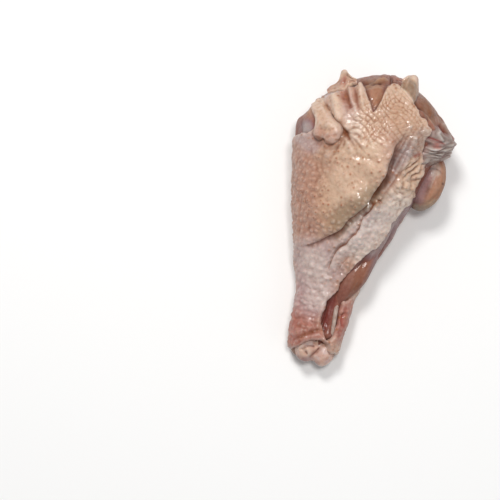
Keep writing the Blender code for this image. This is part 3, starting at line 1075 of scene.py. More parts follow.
@dataclass(frozen=True)
class WetTissue:
    """A moist animal tissue under a film of juice: mottled, a little see-through, glinting."""

    name: str
    colour: str
    mottle: str
    mottle_mm: float
    mottle_share: float
    pale_fleck: str = "#4a3f34"
    dark_fleck: str = "#b98a78"
    fleck_mm: float = 2.6
    fleck_share: float = 0.36
    tones: dict[Tone, str] = field(default_factory=dict)
    roughness: Pair = (0.3, 0.55)
    wet_patch_mm: float = 3.0
    film: float = 1.0
    rim_film: float = 0.1
    film_roughness: float = 0.08
    depth_mm: float = 2.5
    depth_weight: float = 0.15
    depth_colours: Point = (1.0, 0.4, 0.25)
    bump_mm: float = 1.1
    bump_height_mm: float = 0.12
    pucker_size: float = 2.2
    pucker_height: float = 2.5
    fibre_mm: float = 0.0
    fibre_height_mm: float = 0.0
    fibre_stretch: Point = (1.0, 0.12, 1.0)
    fibre_turn: Point = (0.0, 0.0, 0.35)
    water_ior: float = 1.33
    tissue_ior: float = 1.4
    shine: float = 0.3

    def noise(self, tree: Tree, coordinates: Socket, size_mm: float,
              detail: float = 2.0) -> Socket:
        """A noise whose hills are size_mm apart."""
        inputs = {"Vector": coordinates, "Scale": 1 / (size_mm * MM), "Detail": detail}
        return add_node(tree, "ShaderNodeTexNoise", inputs).outputs["Fac"]

    def colours(self, tree: Tree, coordinates: Socket) -> Socket:
        """Mixes the mottled colour, the tones painted on the mesh, and pale and dark flecks.

        Args:
            tree: The material's node tree.
            coordinates: The object's own coordinates.

        Returns:
            The colour.
        """
        patches = self.noise(tree, coordinates, self.mottle_mm, 5.0)
        share = ranged(tree, patches, (0.35, 0.65), (0.0, self.mottle_share))
        colour = blended(tree, share, linear(self.colour), linear(self.mottle))
        for tone, hex_colour in self.tones.items():
            amount = add_node(tree, "ShaderNodeAttribute", attribute_name=tone.value)
            colour = blended(tree, amount.outputs["Fac"], colour, linear(hex_colour))
        flecks = self.noise(tree, coordinates, self.fleck_mm, 3.0)
        light, dark = (
            ranged(tree, flecks, (0.5, full), (0.0, self.fleck_share)) for full in (0.75, 0.25)
        )
        colour = blended(tree, light, colour, linear(self.pale_fleck), "SCREEN")
        return blended(tree, dark, colour, linear(self.dark_fleck), "MULTIPLY")

    def bumps(self, tree: Tree, coordinates: Socket) -> Socket:
        """Adds the fine grain, the puckers over it and the fibres of muscle or sinew.

        Args:
            tree: The material's node tree.
            coordinates: The object's own coordinates.

        Returns:
            The bumped normal.
        """
        layers = [
            (self.noise(tree, coordinates, self.bump_mm), self.bump_height_mm),
            (self.noise(tree, coordinates, self.pucker_size * self.bump_mm, 1.0),
             self.pucker_height * self.bump_height_mm),
        ]
        if self.fibre_mm:
            stretched = add_node(tree, "ShaderNodeMapping", {
                "Vector": coordinates, "Scale": self.fibre_stretch, "Rotation": self.fibre_turn,
            }).outputs["Vector"]
            layers.append((self.noise(tree, stretched, self.fibre_mm), self.fibre_height_mm))
        inputs: dict = {"Strength": 1.0}
        for height, height_mm in layers:
            inputs |= {"Height": height, "Distance": height_mm * MM}
            inputs["Normal"] = add_node(tree, "ShaderNodeBump", inputs).outputs["Normal"]
        return inputs["Normal"]

    def make(self) -> Material:
        """Builds the material.

        Returns:
            The material.
        """
        material = bpy.data.materials.new(self.name)
        material.use_nodes = True
        tree = material.node_tree
        shader = tree.nodes["Principled BSDF"]
        coordinates = add_node(tree, "ShaderNodeTexCoord").outputs["Object"]
        wet = self.noise(tree, coordinates, self.wet_patch_mm)
        facing = add_node(tree, "ShaderNodeLayerWeight", {"Blend": 0.5}).outputs["Facing"]
        for socket, value in {
            "Base Color": self.colours(tree, coordinates),
            "Roughness": ranged(tree, wet, (0.3, 0.7), self.roughness),
            "Normal": self.bumps(tree, coordinates),
            "Coat Weight": ranged(tree, facing, (0.3, 0.75),
                                  (self.film, self.film * self.rim_film)),
        }.items():
            tree.links.new(value, shader.inputs[socket])
        for socket, value in {
            "Subsurface Weight": self.depth_weight, "Subsurface Radius": self.depth_colours,
            "Subsurface Scale": self.depth_mm * MM, "Coat Roughness": self.film_roughness,
            "Coat IOR": self.water_ior, "IOR": self.tissue_ior,
            "Specular IOR Level": self.shine,
        }.items():
            shader.inputs[socket].default_value = value
        return material


# Poultry skin, plucked and moist: cream over fat, pinker and bluer where it lies on muscle.
SKIN_FINISH = WetTissue(
    name="poultry_skin_moist", film_roughness=0.065, bump_height_mm=0.15,
    colour="#bf9c88", mottle="#b08573", mottle_mm=8.0, mottle_share=0.6,
    tones={
        CREAM: "#d2b398", OLIVE: "#967d65", BROWN: "#b08365", PINK: "#a66b5d",
        LAVENDER: "#b5a09f", GREY: "#7c777b", WHITE: "#e0d3c8",
        BLOOD: "#96443b", SHADE: "#7d4a30", PORE: "#9a5c33",
    },
)

# Dark leg muscle, cut and wet: fine fibres under a clear gloss, silver skin in places.
MUSCLE_FINISH = WetTissue(
    name="leg_muscle_wet",
    colour="#8c5646", mottle="#7c4738", mottle_mm=7.0, mottle_share=0.6,
    tones={
        BROWN: "#875b41", PINK: "#a06a57", LAVENDER: "#8f7276",
        GREY: "#93806f", CREAM: "#bf9672", WHITE: "#c4b6ab",
        BLOOD: "#6f2d27", SHADE: "#5a352a",
    },
    roughness=(0.32, 0.55), film=0.7, film_roughness=0.1, depth_weight=0.2,
    bump_height_mm=0.2, fibre_mm=0.9, fibre_height_mm=0.12, fleck_share=0.3,
)

# The same muscle where the air has dried it: flat and matt, with hardly a glint.
DRIER_MUSCLE_FINISH = replace(
    MUSCLE_FINISH, name="leg_muscle_air_dried", roughness=(0.42, 0.62), film=0.35,
)

# Torn connective membrane, thin and wrinkled: grey-white, with blood in its creases.
MEMBRANE_FINISH = WetTissue(
    name="connective_membrane_wrinkled",
    colour="#a08f86", mottle="#8b756c", mottle_mm=5.0, mottle_share=0.7,
    tones={WHITE: "#d3cbc4", BLOOD: "#7d352e", SHADE: "#5d403b",
           PINK: "#b5746a", CREAM: "#b79d86"},
    roughness=(0.35, 0.55), film=0.6, film_roughness=0.14,
)

# Shin tendon, a tight cord of sinew: white-grey and glossy.
SINEW_FINISH = WetTissue(
    name="tendon_sinew_glossy",
    colour="#b7a397", mottle="#9a7f73", mottle_mm=3.0, mottle_share=0.7,
    roughness=(0.2, 0.35), fibre_mm=0.5, fibre_height_mm=0.06,
)

# Joint gristle, smooth and rubbery: bluish white, pink where it meets the bone.
GRISTLE_FINISH = WetTissue(
    name="joint_gristle_smooth",
    colour="#d6b09c", mottle="#bd8f80", mottle_mm=6.0, mottle_share=0.5,
    tones={WHITE: "#cbc6c6", LAVENDER: "#a38c95", BLOOD: "#7b362e",
           SHADE: "#6d4034", PINK: "#b5857a", CREAM: "#c9aa92"},
    roughness=(0.25, 0.4), bump_height_mm=0.05,
)


# ---- the skin's layout

# Where the loose skin of the calf rolls over the skin below it, from the knee down.
CALF_FOLD = (
    (14, 171), (13.6, 161.2), (11.8, 151), (11.3, 142.2), (10.5, 135), (8, 127.2),
    (5.2, 120), (1.6, 112.5), (-3.2, 104.6), (-8.6, 96), (-14.5, 88.5), (-22, 82.3),
    (-29.6, 75.8), (-40, 69),
)
SHANK_FOLD = (
    (11.3, 123), (8.5, 116), (5.5, 108.7), (3, 99.3), (0.3, 90.6), (-4.2, 83.6),
    (-6.8, 77.1), (-8.5, 70.1), (-9.2, 62.8),
)
SHIN_FOLD = ((4.5, 82), (0.9, 75.5), (-1.6, 71.3), (-1.6, 64.2))

# The skin's free edge down the right side, then round outside the leg.
SIDE_WINDOW = (
    (33.5, 177.5), (31.3, 171), (31.7, 165.8), (32.2, 160), (35.8, 156), (36.6, 150),
    (35.8, 144), (35, 138.6), (35.2, 134.2), (36.2, 131), (34.8, 126.8), (33, 123.4),
    (31, 118.4), (28.4, 112.8), (26.8, 108.7), (23.7, 97.8), (20.5, 91.1), (15.5, 85.4),
    (11, 78.3), (7.1, 71.5), (4, 64.1), (2.3, 57.1), (3.5, 50.5), (9, 49), (12.5, 52), (15, 58),
    (19, 61), (50, 70), (80, 110), (80, 180), (60, 200),
)
KNEE_WINDOW = (
    (-80, 183), (-52, 178), (-43, 184.5), (-32, 189), (-25, 192), (-22.6, 195.8), (-19.4, 194.5),
    (-14, 196), (-5, 199), (-1.5, 202), (3.5, 202.2), (7, 199.8), (12.8, 193.9), (18, 189.6),
    (23.2, 185.2), (28, 181.5), (32, 177.4), (50, 173), (80, 173), (80, 240), (0, 250), (-80, 240),
)
TEAR_WINDOW = (
    (-20.8, 201), (-20.2, 194.6), (-17.2, 190.2), (-13.4, 183.4), (-9.8, 177.2), (-7.6, 180.6),
    (-6.4, 188.4), (-5.4, 194.6), (-4.6, 204), (-10, 212),
)
LEFT_WINDOW = (
    (-70, 187), (-70, 150), (-58, 149.5), (-53, 153), (-49.5, 152.5), (-46, 157), (-42.5, 166),
    (-44, 177), (-49, 187),
)
SHIN_WINDOW = (
    (1, 53.2), (-2.2, 47.2), (-4, 40.9), (-4.2, 35), (-3.1, 29.6), (-0.3, 24.5), (2.5, 19.5),
    (6.8, 20.5), (7.6, 32), (7.2, 45), (4, 54),
)
ANKLE_WINDOW = (
    (-30, 4), (-19, 6), (-13.5, 10), (-9, 15), (-1, 17.5), (6, 15.5), (9, 10), (24, 7), (30, -30),
    (-30, -30),
)


@dataclass(frozen=True)
class Window:
    """A place where the skin is torn or trimmed off, down to a height over the floor."""

    outline: Corners
    down_to: float
    uneven: Hills = Hills(3.2, 11, 29, 44)

    def outside(self, places: Places) -> Array:
        """Measures places to the window.

        Args:
            places: Where on the leg.

        Returns:
            Distances outside it, negative in it.
        """
        around = Trail(self.outline, closed=True).depth_outside(places.x, places.y)
        down_to = self.down_to + hilly(places.y, places.y, self.uneven)
        return np.maximum(around, down_to - places.z)


WINDOWS = (
    Window(SIDE_WINDOW, 14.0), Window(KNEE_WINDOW, -20.0), Window(TEAR_WINDOW, 40.0),
    Window(LEFT_WINDOW, 13.0), Window(SHIN_WINDOW, 12.0), Window(ANKLE_WINDOW, 11.0),
)

MIDDLE_OF_CALF = ((-14, 152), (-9, 134), (-14, 116))
PEBBLED = ((-9, 170), (1, 180), (12, 178), (23, 168))
LOW_GOOSE = ((-40, 128), (-34, 108), (-26, 92))
OLIVE_SPOT = ((6, 122), (-2, 112), (-10, 104))
SHIN_BAND = ((-22, 66), (-19, 50), (-17, 32))
SHANK_BAND = ((26, 128), (16, 108), (8, 90), (2, 72))
FLANK = ((28, 150), (28, 134), (27, 126))
UNDER_TONGUE = (
    (-44, 155), (-42.6, 151.4), (-39.4, 148.8), (-36.4, 150.6), (-33.2, 147.6), (-28.2, 148.8),
    (-26, 153), (-25.4, 158.6), (-28.6, 163.6),
)
BESIDE_CALF = (
    (18, 173), (16.6, 162), (15.2, 151), (14, 141), (12, 131), (9.4, 124.5),
)
PUCKER = (-24.0, 159.2)

SKIN_FOLDS = (
    Fold(CALF_FOLD, 5.6, 44, 6.0, 1.4, 2.2, 2.0, side=-1, fade_start=0.3, fade_end=0.42,
         tuck=math.radians(50), shade=0.85),
    Fold(SHANK_FOLD, 2.4, 11, 1.7, 0.9, 1.3, 1.2, side=1, shade=0.9),
    Fold(SHIN_FOLD, 1.0, 8, 1.5, 0.4, 0.5, 1.0, side=1, fade_start=0.4, fade_end=0.4, shade=0.4),
)

# The groove beside the calf, the slit at its lower end and the fine creases in it.
GROOVE_STROKES = (
    # Its blue-grey is partly the thin skin's own colour and partly painted shade down the groove.
    Stroke(BESIDE_CALF, 4.4, -3.4, GREY, 1, fade=0.9),
    Stroke(BESIDE_CALF[1:], 2.6, -0.8, shade=0.3, fade=0.5),
    Stroke(((12.4, 139), (9.8, 130), (6.6, 122.5), (3.4, 117)), 1.9, -3.2, shade=1, fade=0.4),
    Stroke(((11.4, 134), (9.4, 128), (6.8, 122.5)), 1.2, -0.6, shade=1, fade=0.4),
    Stroke(((10.1, 121), (14, 120)), 0.9, -1.6, shade=0.95, fade=0.5),
    *(Stroke(tuple((x + shift + 0.8 * math.sin(y / 9 + shift), y) for x, y in BESIDE_CALF),
             0.65, depth, shade=0.5, fade=0.5)
      for shift, depth in ((-1.4, -0.7), (0.4, -0.9), (2.2, -0.8), (4.0, -0.5))),
    Stroke(((22, 164), (20.5, 156), (18.5, 146)), 2.6, 1.3, LAVENDER, 0.7, fade=0.5),
)

# The pucker below the tongue, and the creases and soft rolls that run out of it.
PUCKER_STROKES = (
    *(Stroke((PUCKER, bend, end), 1.0, -0.8, shade=0.42, fade=0.8) for end, bend in (
        ((-8.9, 150.3), (-16, 155.9)), ((-13.3, 149.6), (-17.4, 153.6)),
        ((-28.6, 137.7), (-25.9, 150)), ((-24.1, 146.6), (-22.8, 152)),
        ((-11, 158), (-16.6, 159.9)), ((-15, 166.1), (-20.4, 163)),
        ((-33.8, 145.9), (-27.6, 152.6)), ((-36, 152), (-29, 156)),
    )),
    Stroke((PUCKER,), 2.2, -2.2, shade=0.9, fade=0),
    Stroke(((-27.8, 162.1), PUCKER, (-19.5, 154.5)), 1.2, -1.3, shade=0.95, fade=0.3),
    Stroke(((-21.4, 155), (-18.4, 150.6), (-14.9, 145)), 2.4, 1.3),
    Stroke(((-26.5, 153), (-29.5, 146), (-31.5, 139.5)), 2.2, 1.1),
    Stroke(((-19.5, 157.8), (-13, 154.9), (-8, 154)), 1.6, 0.9),
    Stroke(((-19.9, 146), (-12.4, 147.2), (-5.8, 146.9), (1.5, 147.8)), 1.6, -0.5, shade=0.1),
)

# The pleat with the pink groove, the wedge beside it and the ridge along the tear.
PLEAT_STROKES = (
    Stroke(((-32.5, 190), (-30.8, 186.1), (-28, 181.3), (-24.2, 175.6)), 1.6, -1.9, BLOOD, 0.55,
           shade=0.2, fade=0.5),
    Stroke(((-34.6, 188), (-32.6, 183.6), (-29.4, 178.6), (-26, 173.4)), 1.2, -0.7, PINK, 0.6,
           shade=0.1, fade=0.4),
    Stroke(((-25.6, 191), (-23.6, 185.6), (-20.8, 179.4), (-18.6, 174.6)), 1.4, -1, PINK, 0.6,
           shade=0.15, fade=0.4),
    Stroke(((-26.6, 179.6), (-24.4, 176.6)), 1.8, -0.6, BLOOD, 0.4),
    Stroke(((-28.8, 190.5), (-26.8, 184), (-24.2, 178.5)), 1.6, 1.6),
    Stroke(((-38, 185), (-35, 178), (-31.6, 170), (-29.6, 165)), 3.2, 2.6, CREAM, 0.8),
    Stroke(((-22, 195), (-20.6, 188), (-16.8, 180)), 1.9, 1.9, CREAM, 0.6),
    Stroke(((-43.4, 176.6), (-40.4, 172.7), (-36.5, 168.2), (-32.1, 165.1), (-27.8, 162.1),
            (-25.6, 159.2)), 1.2, -2.6, shade=0.95),
    Stroke(((-45.6, 180), (-41.1, 184.1), (-34.9, 187.2)), 2.6, -0.8, LAVENDER, 0.9),
)

# Fine wavy wrinkles of the right flank, each with a pale ridge over it.
FLANK_WRINKLES = (
    ((21.8, 143.5), (23, 146.7), (25.8, 149.6), (28.6, 152.5), (31.2, 154.7)),
    ((22.8, 140.3), (25.2, 144.5), (28, 147.4), (29.6, 149.3), (31.7, 152)),
    ((27.1, 140.8), (29.7, 144.4), (33.1, 147.5), (33.5, 151.2), (34.1, 154.2)),
    ((30.3, 140.3), (33.2, 142.6), (35.7, 144), (36.8, 147.9)),
    ((19.6, 138.6), (20.4, 144), (22.4, 148.4), (25.4, 152.4)),
)
# Middle, upper end and width of the thick soft lumps below them.
FLANK_LUMPS = (
    ((20, 133.5), (22, 137), 2), ((25.8, 134), (27, 139), 2),
    ((31.2, 134.4), (32, 138.6), 1.8), ((16.4, 127), (18.6, 130.5), 1.9),
    ((23.4, 126.5), (24.4, 130), 1.7),
)

# The cream tab that hangs over the membrane with two white beads beside it, and the shin.
TAB_STROKES = (
    Stroke(((25.4, 155.8), (27.7, 157.5), (30.8, 159.5)), 1.7, -0.5, BLOOD, 0.65),
    Stroke(((25.5, 175.2), (29.5, 174.6), (31.2, 171.8)), 2.4, 1.7, CREAM, 0.9),
    Stroke(((22.6, 168.4),), 1.2, 1.2, WHITE, 0.7, fade=0),
    Stroke(((17.8, 174.6),), 1.1, 1, WHITE, 0.5, fade=0),
    Stroke(((-13.2, 57.3), (-4, 62), (6, 64)), 2.2, 0.9),
    Stroke(((-3.4, 53), (-5.6, 45), (-6.2, 35), (-5.2, 27), (-2.5, 21)), 1.5, 0.9, CREAM, 0.6),
    Stroke(((9.4, 41), (8.8, 36), (10.2, 30.5)), 0.9, -0.9, BLOOD, 0.9),
    Stroke(((11.5, 44), (12, 34), (11, 24)), 1.4, 0.8, CREAM, 0.5),
)

# Rings and wrinkles round the ankle.
ANKLE_STROKES = (
    Stroke(((-19, 9.5), (-13, 15.5), (-4, 20.5), (5, 18.5)), 2.2, 1.4, PINK, 0.4),
    Stroke(((-21, 15), (-13, 22.5), (-5, 27.5)), 2, 1.3, CREAM, 0.25),
    Stroke(((-20, 12), (-12, 19), (-4, 24.5), (2, 25)), 1.1, -1.2, shade=0.4, fade=0.4),
    Stroke(((-15, 11), (-13.4, 19), (-14.6, 26)), 1.1, -0.9, shade=0.3, fade=0.5),
    Stroke(((-8, 15.5), (-8.6, 22), (-7.4, 29)), 1.2, -0.8, shade=0.25, fade=0.5),
)

SKIN_WASHES = (
    Wash(CREAM, MIDDLE_OF_CALF, 26, 0.75),
    Wash(CREAM, ((-9, 174), (3, 190), (14, 182), (24, 172)), 19, 0.6),
    Wash(BROWN, ((-6, 170), (4, 178), (14, 174), (22, 166)), 15, 0.35),
    Wash(CREAM, FLANK, 12, 0.75),
    Wash(OLIVE, OLIVE_SPOT, 15, 0.9),
    Wash(BROWN, ((-44, 140), (-38, 118), (-28, 92)), 22, 0.4),
    Wash(CREAM, ((-40, 146), (-34, 124), (-28, 104)), 12, 0.2),
    Wash(PINK, ((-50, 140), (-42, 120), (-34, 94)), 15, 0.3),
    Wash(LAVENDER, ((-50, 150), (-44, 146)), 9, 0.6),
    Wash(PINK, ((-24, 40), (-20, 28), (-14, 16)), 24, 0.9),
    Wash(LAVENDER, ((-24, 72), (-18, 60), (-14, 46)), 21, 0.7),
    Wash(WHITE, ((-20, 70), (-14, 58), (-12, 46)), 12, 0.32),
    Wash(WHITE, ((2, 104), (-4, 88), (-6, 72)), 7, 0.25),
    Wash(LAVENDER, ((-2, 84), (3, 96), (9, 108)), 9, 0.65),
    Wash(LAVENDER, ((-14, 84), (-6, 74), (-2, 66)), 8, 0.5),
    Wash(LAVENDER, ((16, 112), (8, 94)), 10, 0.5),
    Wash(WHITE, ((25, 122), (17, 103), (10, 86)), 14, 0.6),
    Wash(PINK, ((20, 114), (8, 90)), 4, 0.5),
    Wash(PINK, ((-29, 182), (-24, 172)), 6, 0.3),
    Wash(WHITE, ((-26, 176), (-21, 168), (-19, 160)), 8, 0.3),
    Wash(PINK, ((12, 46), (12, 24)), 8, 0.75),
    Wash(BLOOD, ((-23, 30), (-20, 16)), 8, 0.18),
    Wash(BLOOD, ((9, 42), (10, 28)), 6, 0.4),
    Wash(GREY, ((28, 172), (22, 160)), 8, 0.4),
    Wash(SHADE, UNDER_TONGUE, 3.4, 0.5),
)

# Hills of limp skin, large, middling and small, and the rags of a torn edge.
LIMP_HILLS = Hills(1.1, 13, 13, 31)
SOFT_HILLS = Hills(0.6, 5.6, 6.4, 32)
FINE_HILLS = Hills(0.2, 2.6, 3.0, 33)
EDGE_RAGS = (Hills(0.7, 4.5, 4.5, 41), Hills(0.3, 1.8, 1.8, 42))
# Where pebbles and dots thin out.
PEBBLE_PATCHES = Hills(1.0, 9, 9, 6)
DOT_PATCHES = Hills(1.0, 11, 11, 9)


@dataclass(frozen=True)
class SkinForm:
    """How the skin's surface departs from the plain leg: folds, creases, pebbles and pores."""

    thickness: float = 2.0
    edge_round: float = 1.7
    edge_drop: float = 1.5
    ankle_reach: float = 22.0
    ankle_tuck: float = 4.5
    ankle_run: float = 8.0
    pebble_mm: float = 3.3
    pebble_stretch: float = 1.1
    pebble_slant: float = math.radians(-30)
    pebble_height: float = 0.6
    pore_mm: float = 3.9
    pore_height: float = 0.62
    pore_width: float = 1.25
    dot_radius: float = 0.46
    knob_mm: float = 1.45 * 3.9
    knob_width: float = 1.7
    nodule_mm: float = 5.2
    nodule_height: float = 0.9
    wrinkle_stations: tuple[float, float, float] = (22.0, 62.0, 3.1)

    def flank_strokes(self) -> Iterable[Stroke]:
        """The wrinkles and the lumps of the right flank."""
        for line in FLANK_WRINKLES:
            yield Stroke(line, 0.6, -0.7, shade=0.4, fade=0.4)
            above = tuple((x - 1.0, y + 0.9) for x, y in line)
            yield Stroke(above, 0.9, 0.4, CREAM, 0.4, fade=0.4)
        for middle, top, width in FLANK_LUMPS:
            yield Stroke((middle, top), width, 1.5, CREAM, 0.7)

    def shin_wrinkles(self) -> Iterable[Stroke]:
        """Fine wrinkles across the lower shin, strewn at random."""
        rng = np.random.default_rng(11)
        for station in np.arange(*self.wrinkle_stations):
            left, right = -26 + rng.uniform(0, 5), -5 + rng.uniform(-4, 2)
            lift = rng.uniform(-3.5, 3.5)
            middle = ((left + right) / 2 + rng.uniform(-2, 2), station + lift)
            line = ((left, station + rng.uniform(-2, 2)), middle, (right, station - lift))
            yield Stroke(line, 0.9, -0.28, shade=0.08, fade=0.4)

    def relief(self, places: Places) -> Relief:
        """Works out the skin's relief and colours.

        Args:
            places: Where on the leg.

        Returns:
            The relief there.
        """
        made = Relief(len(places.x))
        for features in (SKIN_FOLDS, GROOVE_STROKES, PUCKER_STROKES, PLEAT_STROKES,
                         self.flank_strokes(), TAB_STROKES, ANKLE_STROKES, self.shin_wrinkles(),
                         SKIN_WASHES):
            lay_on(features, places, made)
        self.add_pebbles(places, made)
        self.add_pores(places, made)
        self.add_unevenness(places, made)
        return made

    def add_pebbles(self, places: Places, made: Relief) -> None:
        """Raises the pebbled skin of the thigh end, in slanting rows.

        Args:
            places: Where on the leg.
            made: The relief that they are added to.
        """
        size = self.pebble_mm
        sine, cosine = math.sin(self.pebble_slant), math.cos(self.pebble_slant)
        u = (places.arc * cosine + places.y * sine) / size
        v = (places.y * cosine - places.arc * sine) / (self.pebble_stretch * size)
        wobble = 0.9 * soft_noise(u / 3, v / 3, 3)
        cells = scattered(u + wobble, v + wobble, seed=5, jitter=0.72)
        between_rows = smooth((np.abs((v + wobble) % 1 - 0.5) - 0.3) / 0.2)
        gap = cells.second - cells.nearest
        domed = 1 - (cells.nearest / np.maximum(cells.second, 1e-3)) ** 2
        weight = band(places, PEBBLED, 20) * places.free
        weight = weight * smooth(1.2 + hilly(places.arc, places.y, PEBBLE_PATCHES))
        weight = weight * (0.55 + 0.45 * smooth(0.5 + soft_noise(u / 4, v / 4, 7)))
        height = self.pebble_height * domed - 0.35 * between_rows - 0.15
        made.rise += weight * height * (0.6 + 0.8 * cells.tag)
        crease = np.maximum(0.6 * (1 - smooth(gap / 0.26)), between_rows ** 2)
        made.tint(BROWN, 0.8 * weight * crease)
        made.tint(SHADE, 0.24 * weight * crease)

    def add_pores(self, places: Places, made: Relief) -> None:
        """Adds the bumps that plucked feathers leave, and their orange-brown dots.

        Args:
            places: Where on the leg.
            made: The relief that they are added to.
        """
        cells = scattered(places.arc / self.pore_mm, places.y / self.pore_mm, seed=8, jitter=0.75)
        away = cells.nearest * self.pore_mm
        on_shin = band(places, SHIN_BAND, 18)
        height = self.pore_height - 0.3 * band(places, MIDDLE_OF_CALF, 18) - 0.2 * on_shin
        height = height - 0.45 * band(places, PEBBLED, 22)
        height = height + 0.4 * band(places, LOW_GOOSE, 16) + 0.6 * band(places, OLIVE_SPOT, 15)
        height = height * (0.4 + 1.0 * cells.tag) * places.free * (0.35 + 0.65 * places.upper)
        made.rise += np.maximum(height, 0) * hill(away, self.pore_width)
        dotted = smooth((cells.tag - 0.35 + 0.4 * band(places, LOW_GOOSE, 17)) / 0.6)
        dotted = dotted * (1 - 0.8 * on_shin) * places.free
        dotted = dotted * (1 - 0.8 * band(places, SHANK_BAND, 12))
        dotted = dotted * smooth(0.9 + hilly(places.arc, places.y, DOT_PATCHES))
        radius = self.dot_radius + 0.45 * cells.tag ** 2
        made.tint(PORE, dotted * hill(away, radius))
        knobs = scattered(places.arc / self.knob_mm, places.y / self.knob_mm, seed=12)
        raised = (0.45 + 0.75 * knobs.tag) * band(places, SHIN_BAND, 20) * places.free
        made.rise += raised * hill(knobs.nearest * self.knob_mm, self.knob_width)

    def add_unevenness(self, places: Places, made: Relief) -> None:
        """Adds nodules on the flank and the small random hills of limp skin.

        Args:
            places: Where on the leg.
            made: The relief that they are added to.
        """
        u, v = places.arc, places.y
        cells = scattered(u / self.nodule_mm, v / self.nodule_mm, seed=21, jitter=0.9)
        lumpy = np.maximum(band(places, FLANK, 13), 0.35 * band(places, SHANK_BAND, 14))
        domed = smooth((cells.second - cells.nearest) / 1.1)
        made.rise += lumpy * (self.nodule_height * domed - 0.5)
        calm = 1 - 0.3 * band(places, MIDDLE_OF_CALF, 24)
        hills = hilly(u, v, LIMP_HILLS) + calm * hilly(u, v, SOFT_HILLS, FINE_HILLS)
        made.rise += hills * places.free

    def edge(self, places: Places) -> Array:
        """Measures places to the nearest torn or trimmed edge."""
        nearest = np.min([window.outside(places) for window in WINDOWS], axis=0)
        return nearest + hilly(places.arc, places.y, *EDGE_RAGS)

    def surface(self, places: Places, made: Relief, edge: Array, tucked: Array) -> Array:
        """Finds the points of the skin's surface.

        Args:
            places: Where on the leg.
            made: The relief there.
            edge: Distance from the nearest edge.
            tucked: Whether a point is of the rim that is tucked under the edge.

        Returns:
            Across, station and height of each point.
        """
        close = np.clip(edge / self.edge_round, 0, 1)
        drop = self.edge_drop * (1 - np.sqrt(1 - (1 - close) ** 2))
        ankle = smooth((self.ankle_reach - places.y) / self.ankle_run)
        rise = made.rise - drop * (1 + ankle)
        rise = np.where(tucked, rise - self.thickness - self.ankle_tuck * ankle, rise)
        points = places.raised(rise)
        points[:, :2] += made.push * places.free[:, None]
        points[:, 2] = np.maximum(points[:, 2], 0.0)
        return points


SKIN = SkinForm()


@dataclass(frozen=True)
class SkinJacket(Piece):
    """The skin round the leg, torn open in places, with its edges tucked down to the flesh."""

    name = "skin_jacket"
    node = slot = "skin"
    columns: int = 270
    rows: int = 420
    top_density: float = 0.6
    end_density: float = 0.1
    seam: float = 0.5 - 1e-6

    def spread(self, shares: Array) -> Places:
        """Turns shares round and along the leg to places, closest together on the top.

        Args:
            shares: Two shares a row, between -0.5 and 0.5.

        Returns:
            The places.
        """
        around, along = shares[:, 0] + 0.5, shares[:, 1] + 0.5
        turned = around + self.top_density * np.sin(2 * math.pi * around) / (2 * math.pi)
        angle = 3 * math.pi / 2 - 2 * math.pi * turned
        station = along - self.end_density * np.sin(2 * math.pi * along) / (2 * math.pi)
        return Places(station * LEG.length, angle)

    def snap(self, shares: Array) -> Array:
        """Moves shares at a ragged rim onto the skin's true edge.

        Args:
            shares: Two shares a row.

        Returns:
            The moved shares.
        """
        moved = shares.copy()
        step = np.array((0.5 / self.columns, 0.5 / self.rows))
        for _ in range(3):
            here = SKIN.edge(self.spread(moved))
            slope = np.stack([
                (SKIN.edge(self.spread(moved + step * axis)) - here) / step.max()
                for axis in ((1, 0), (0, 1))
            ], axis=1)
            slope *= step.max() / step
            size = np.maximum((slope ** 2 * step ** 2).sum(axis=1, keepdims=True), TINY)
            change = -here[:, None] * slope * step ** 2 / size
            moved = moved + np.clip(change, -1.5 * step, 1.5 * step)
        return moved

    def shape(self) -> Mesh:
        """Makes the jacket's mesh: cuts the windows, tucks their rims and closes the seam."""
        bm = grid(self.columns, self.rows)
        drop_faces(bm, -SKIN.edge(self.spread(read_points(bm)[:, :2])))
        rim = [
            edge for edge in bm.edges
            if edge.is_boundary and abs(sum(vertex.co.x for vertex in edge.verts)) < 2 * self.seam
        ]
        corners = vertices_of(rim)
        snapped = self.snap(np.array([vertex.co[:2] for vertex in corners]))
        for vertex, place in zip(corners, snapped):
            if abs(vertex.co.x) < self.seam:
                vertex.co.xy = place
        flat = extrude_rim(bm, rim)
        places = self.spread(flat[:, :2])
        made = SKIN.relief(places)
        write_points(bm, SKIN.surface(places, made, SKIN.edge(places), flat[:, 2] > 0.5))
        return mesh_of(self.name, bm, made, weld=True)


TONGUE_WASHES = (
    Wash(CREAM, ((-46, 173), (-40, 164), (-35, 157)), 12, 0.55),
    Wash(PINK, ((-41, 156), (-34, 153), (-29, 156)), 5, 0.45),
    Wash(SHADE, ((-42.6, 152.4), (-36.4, 151.8), (-29.5, 149.8)), 1.8, 0.7),
)
TONGUE_LUMPS = (Hills(1.9, 4.6, 5.4, 51), Hills(0.7, 2.2, 2.6, 52))


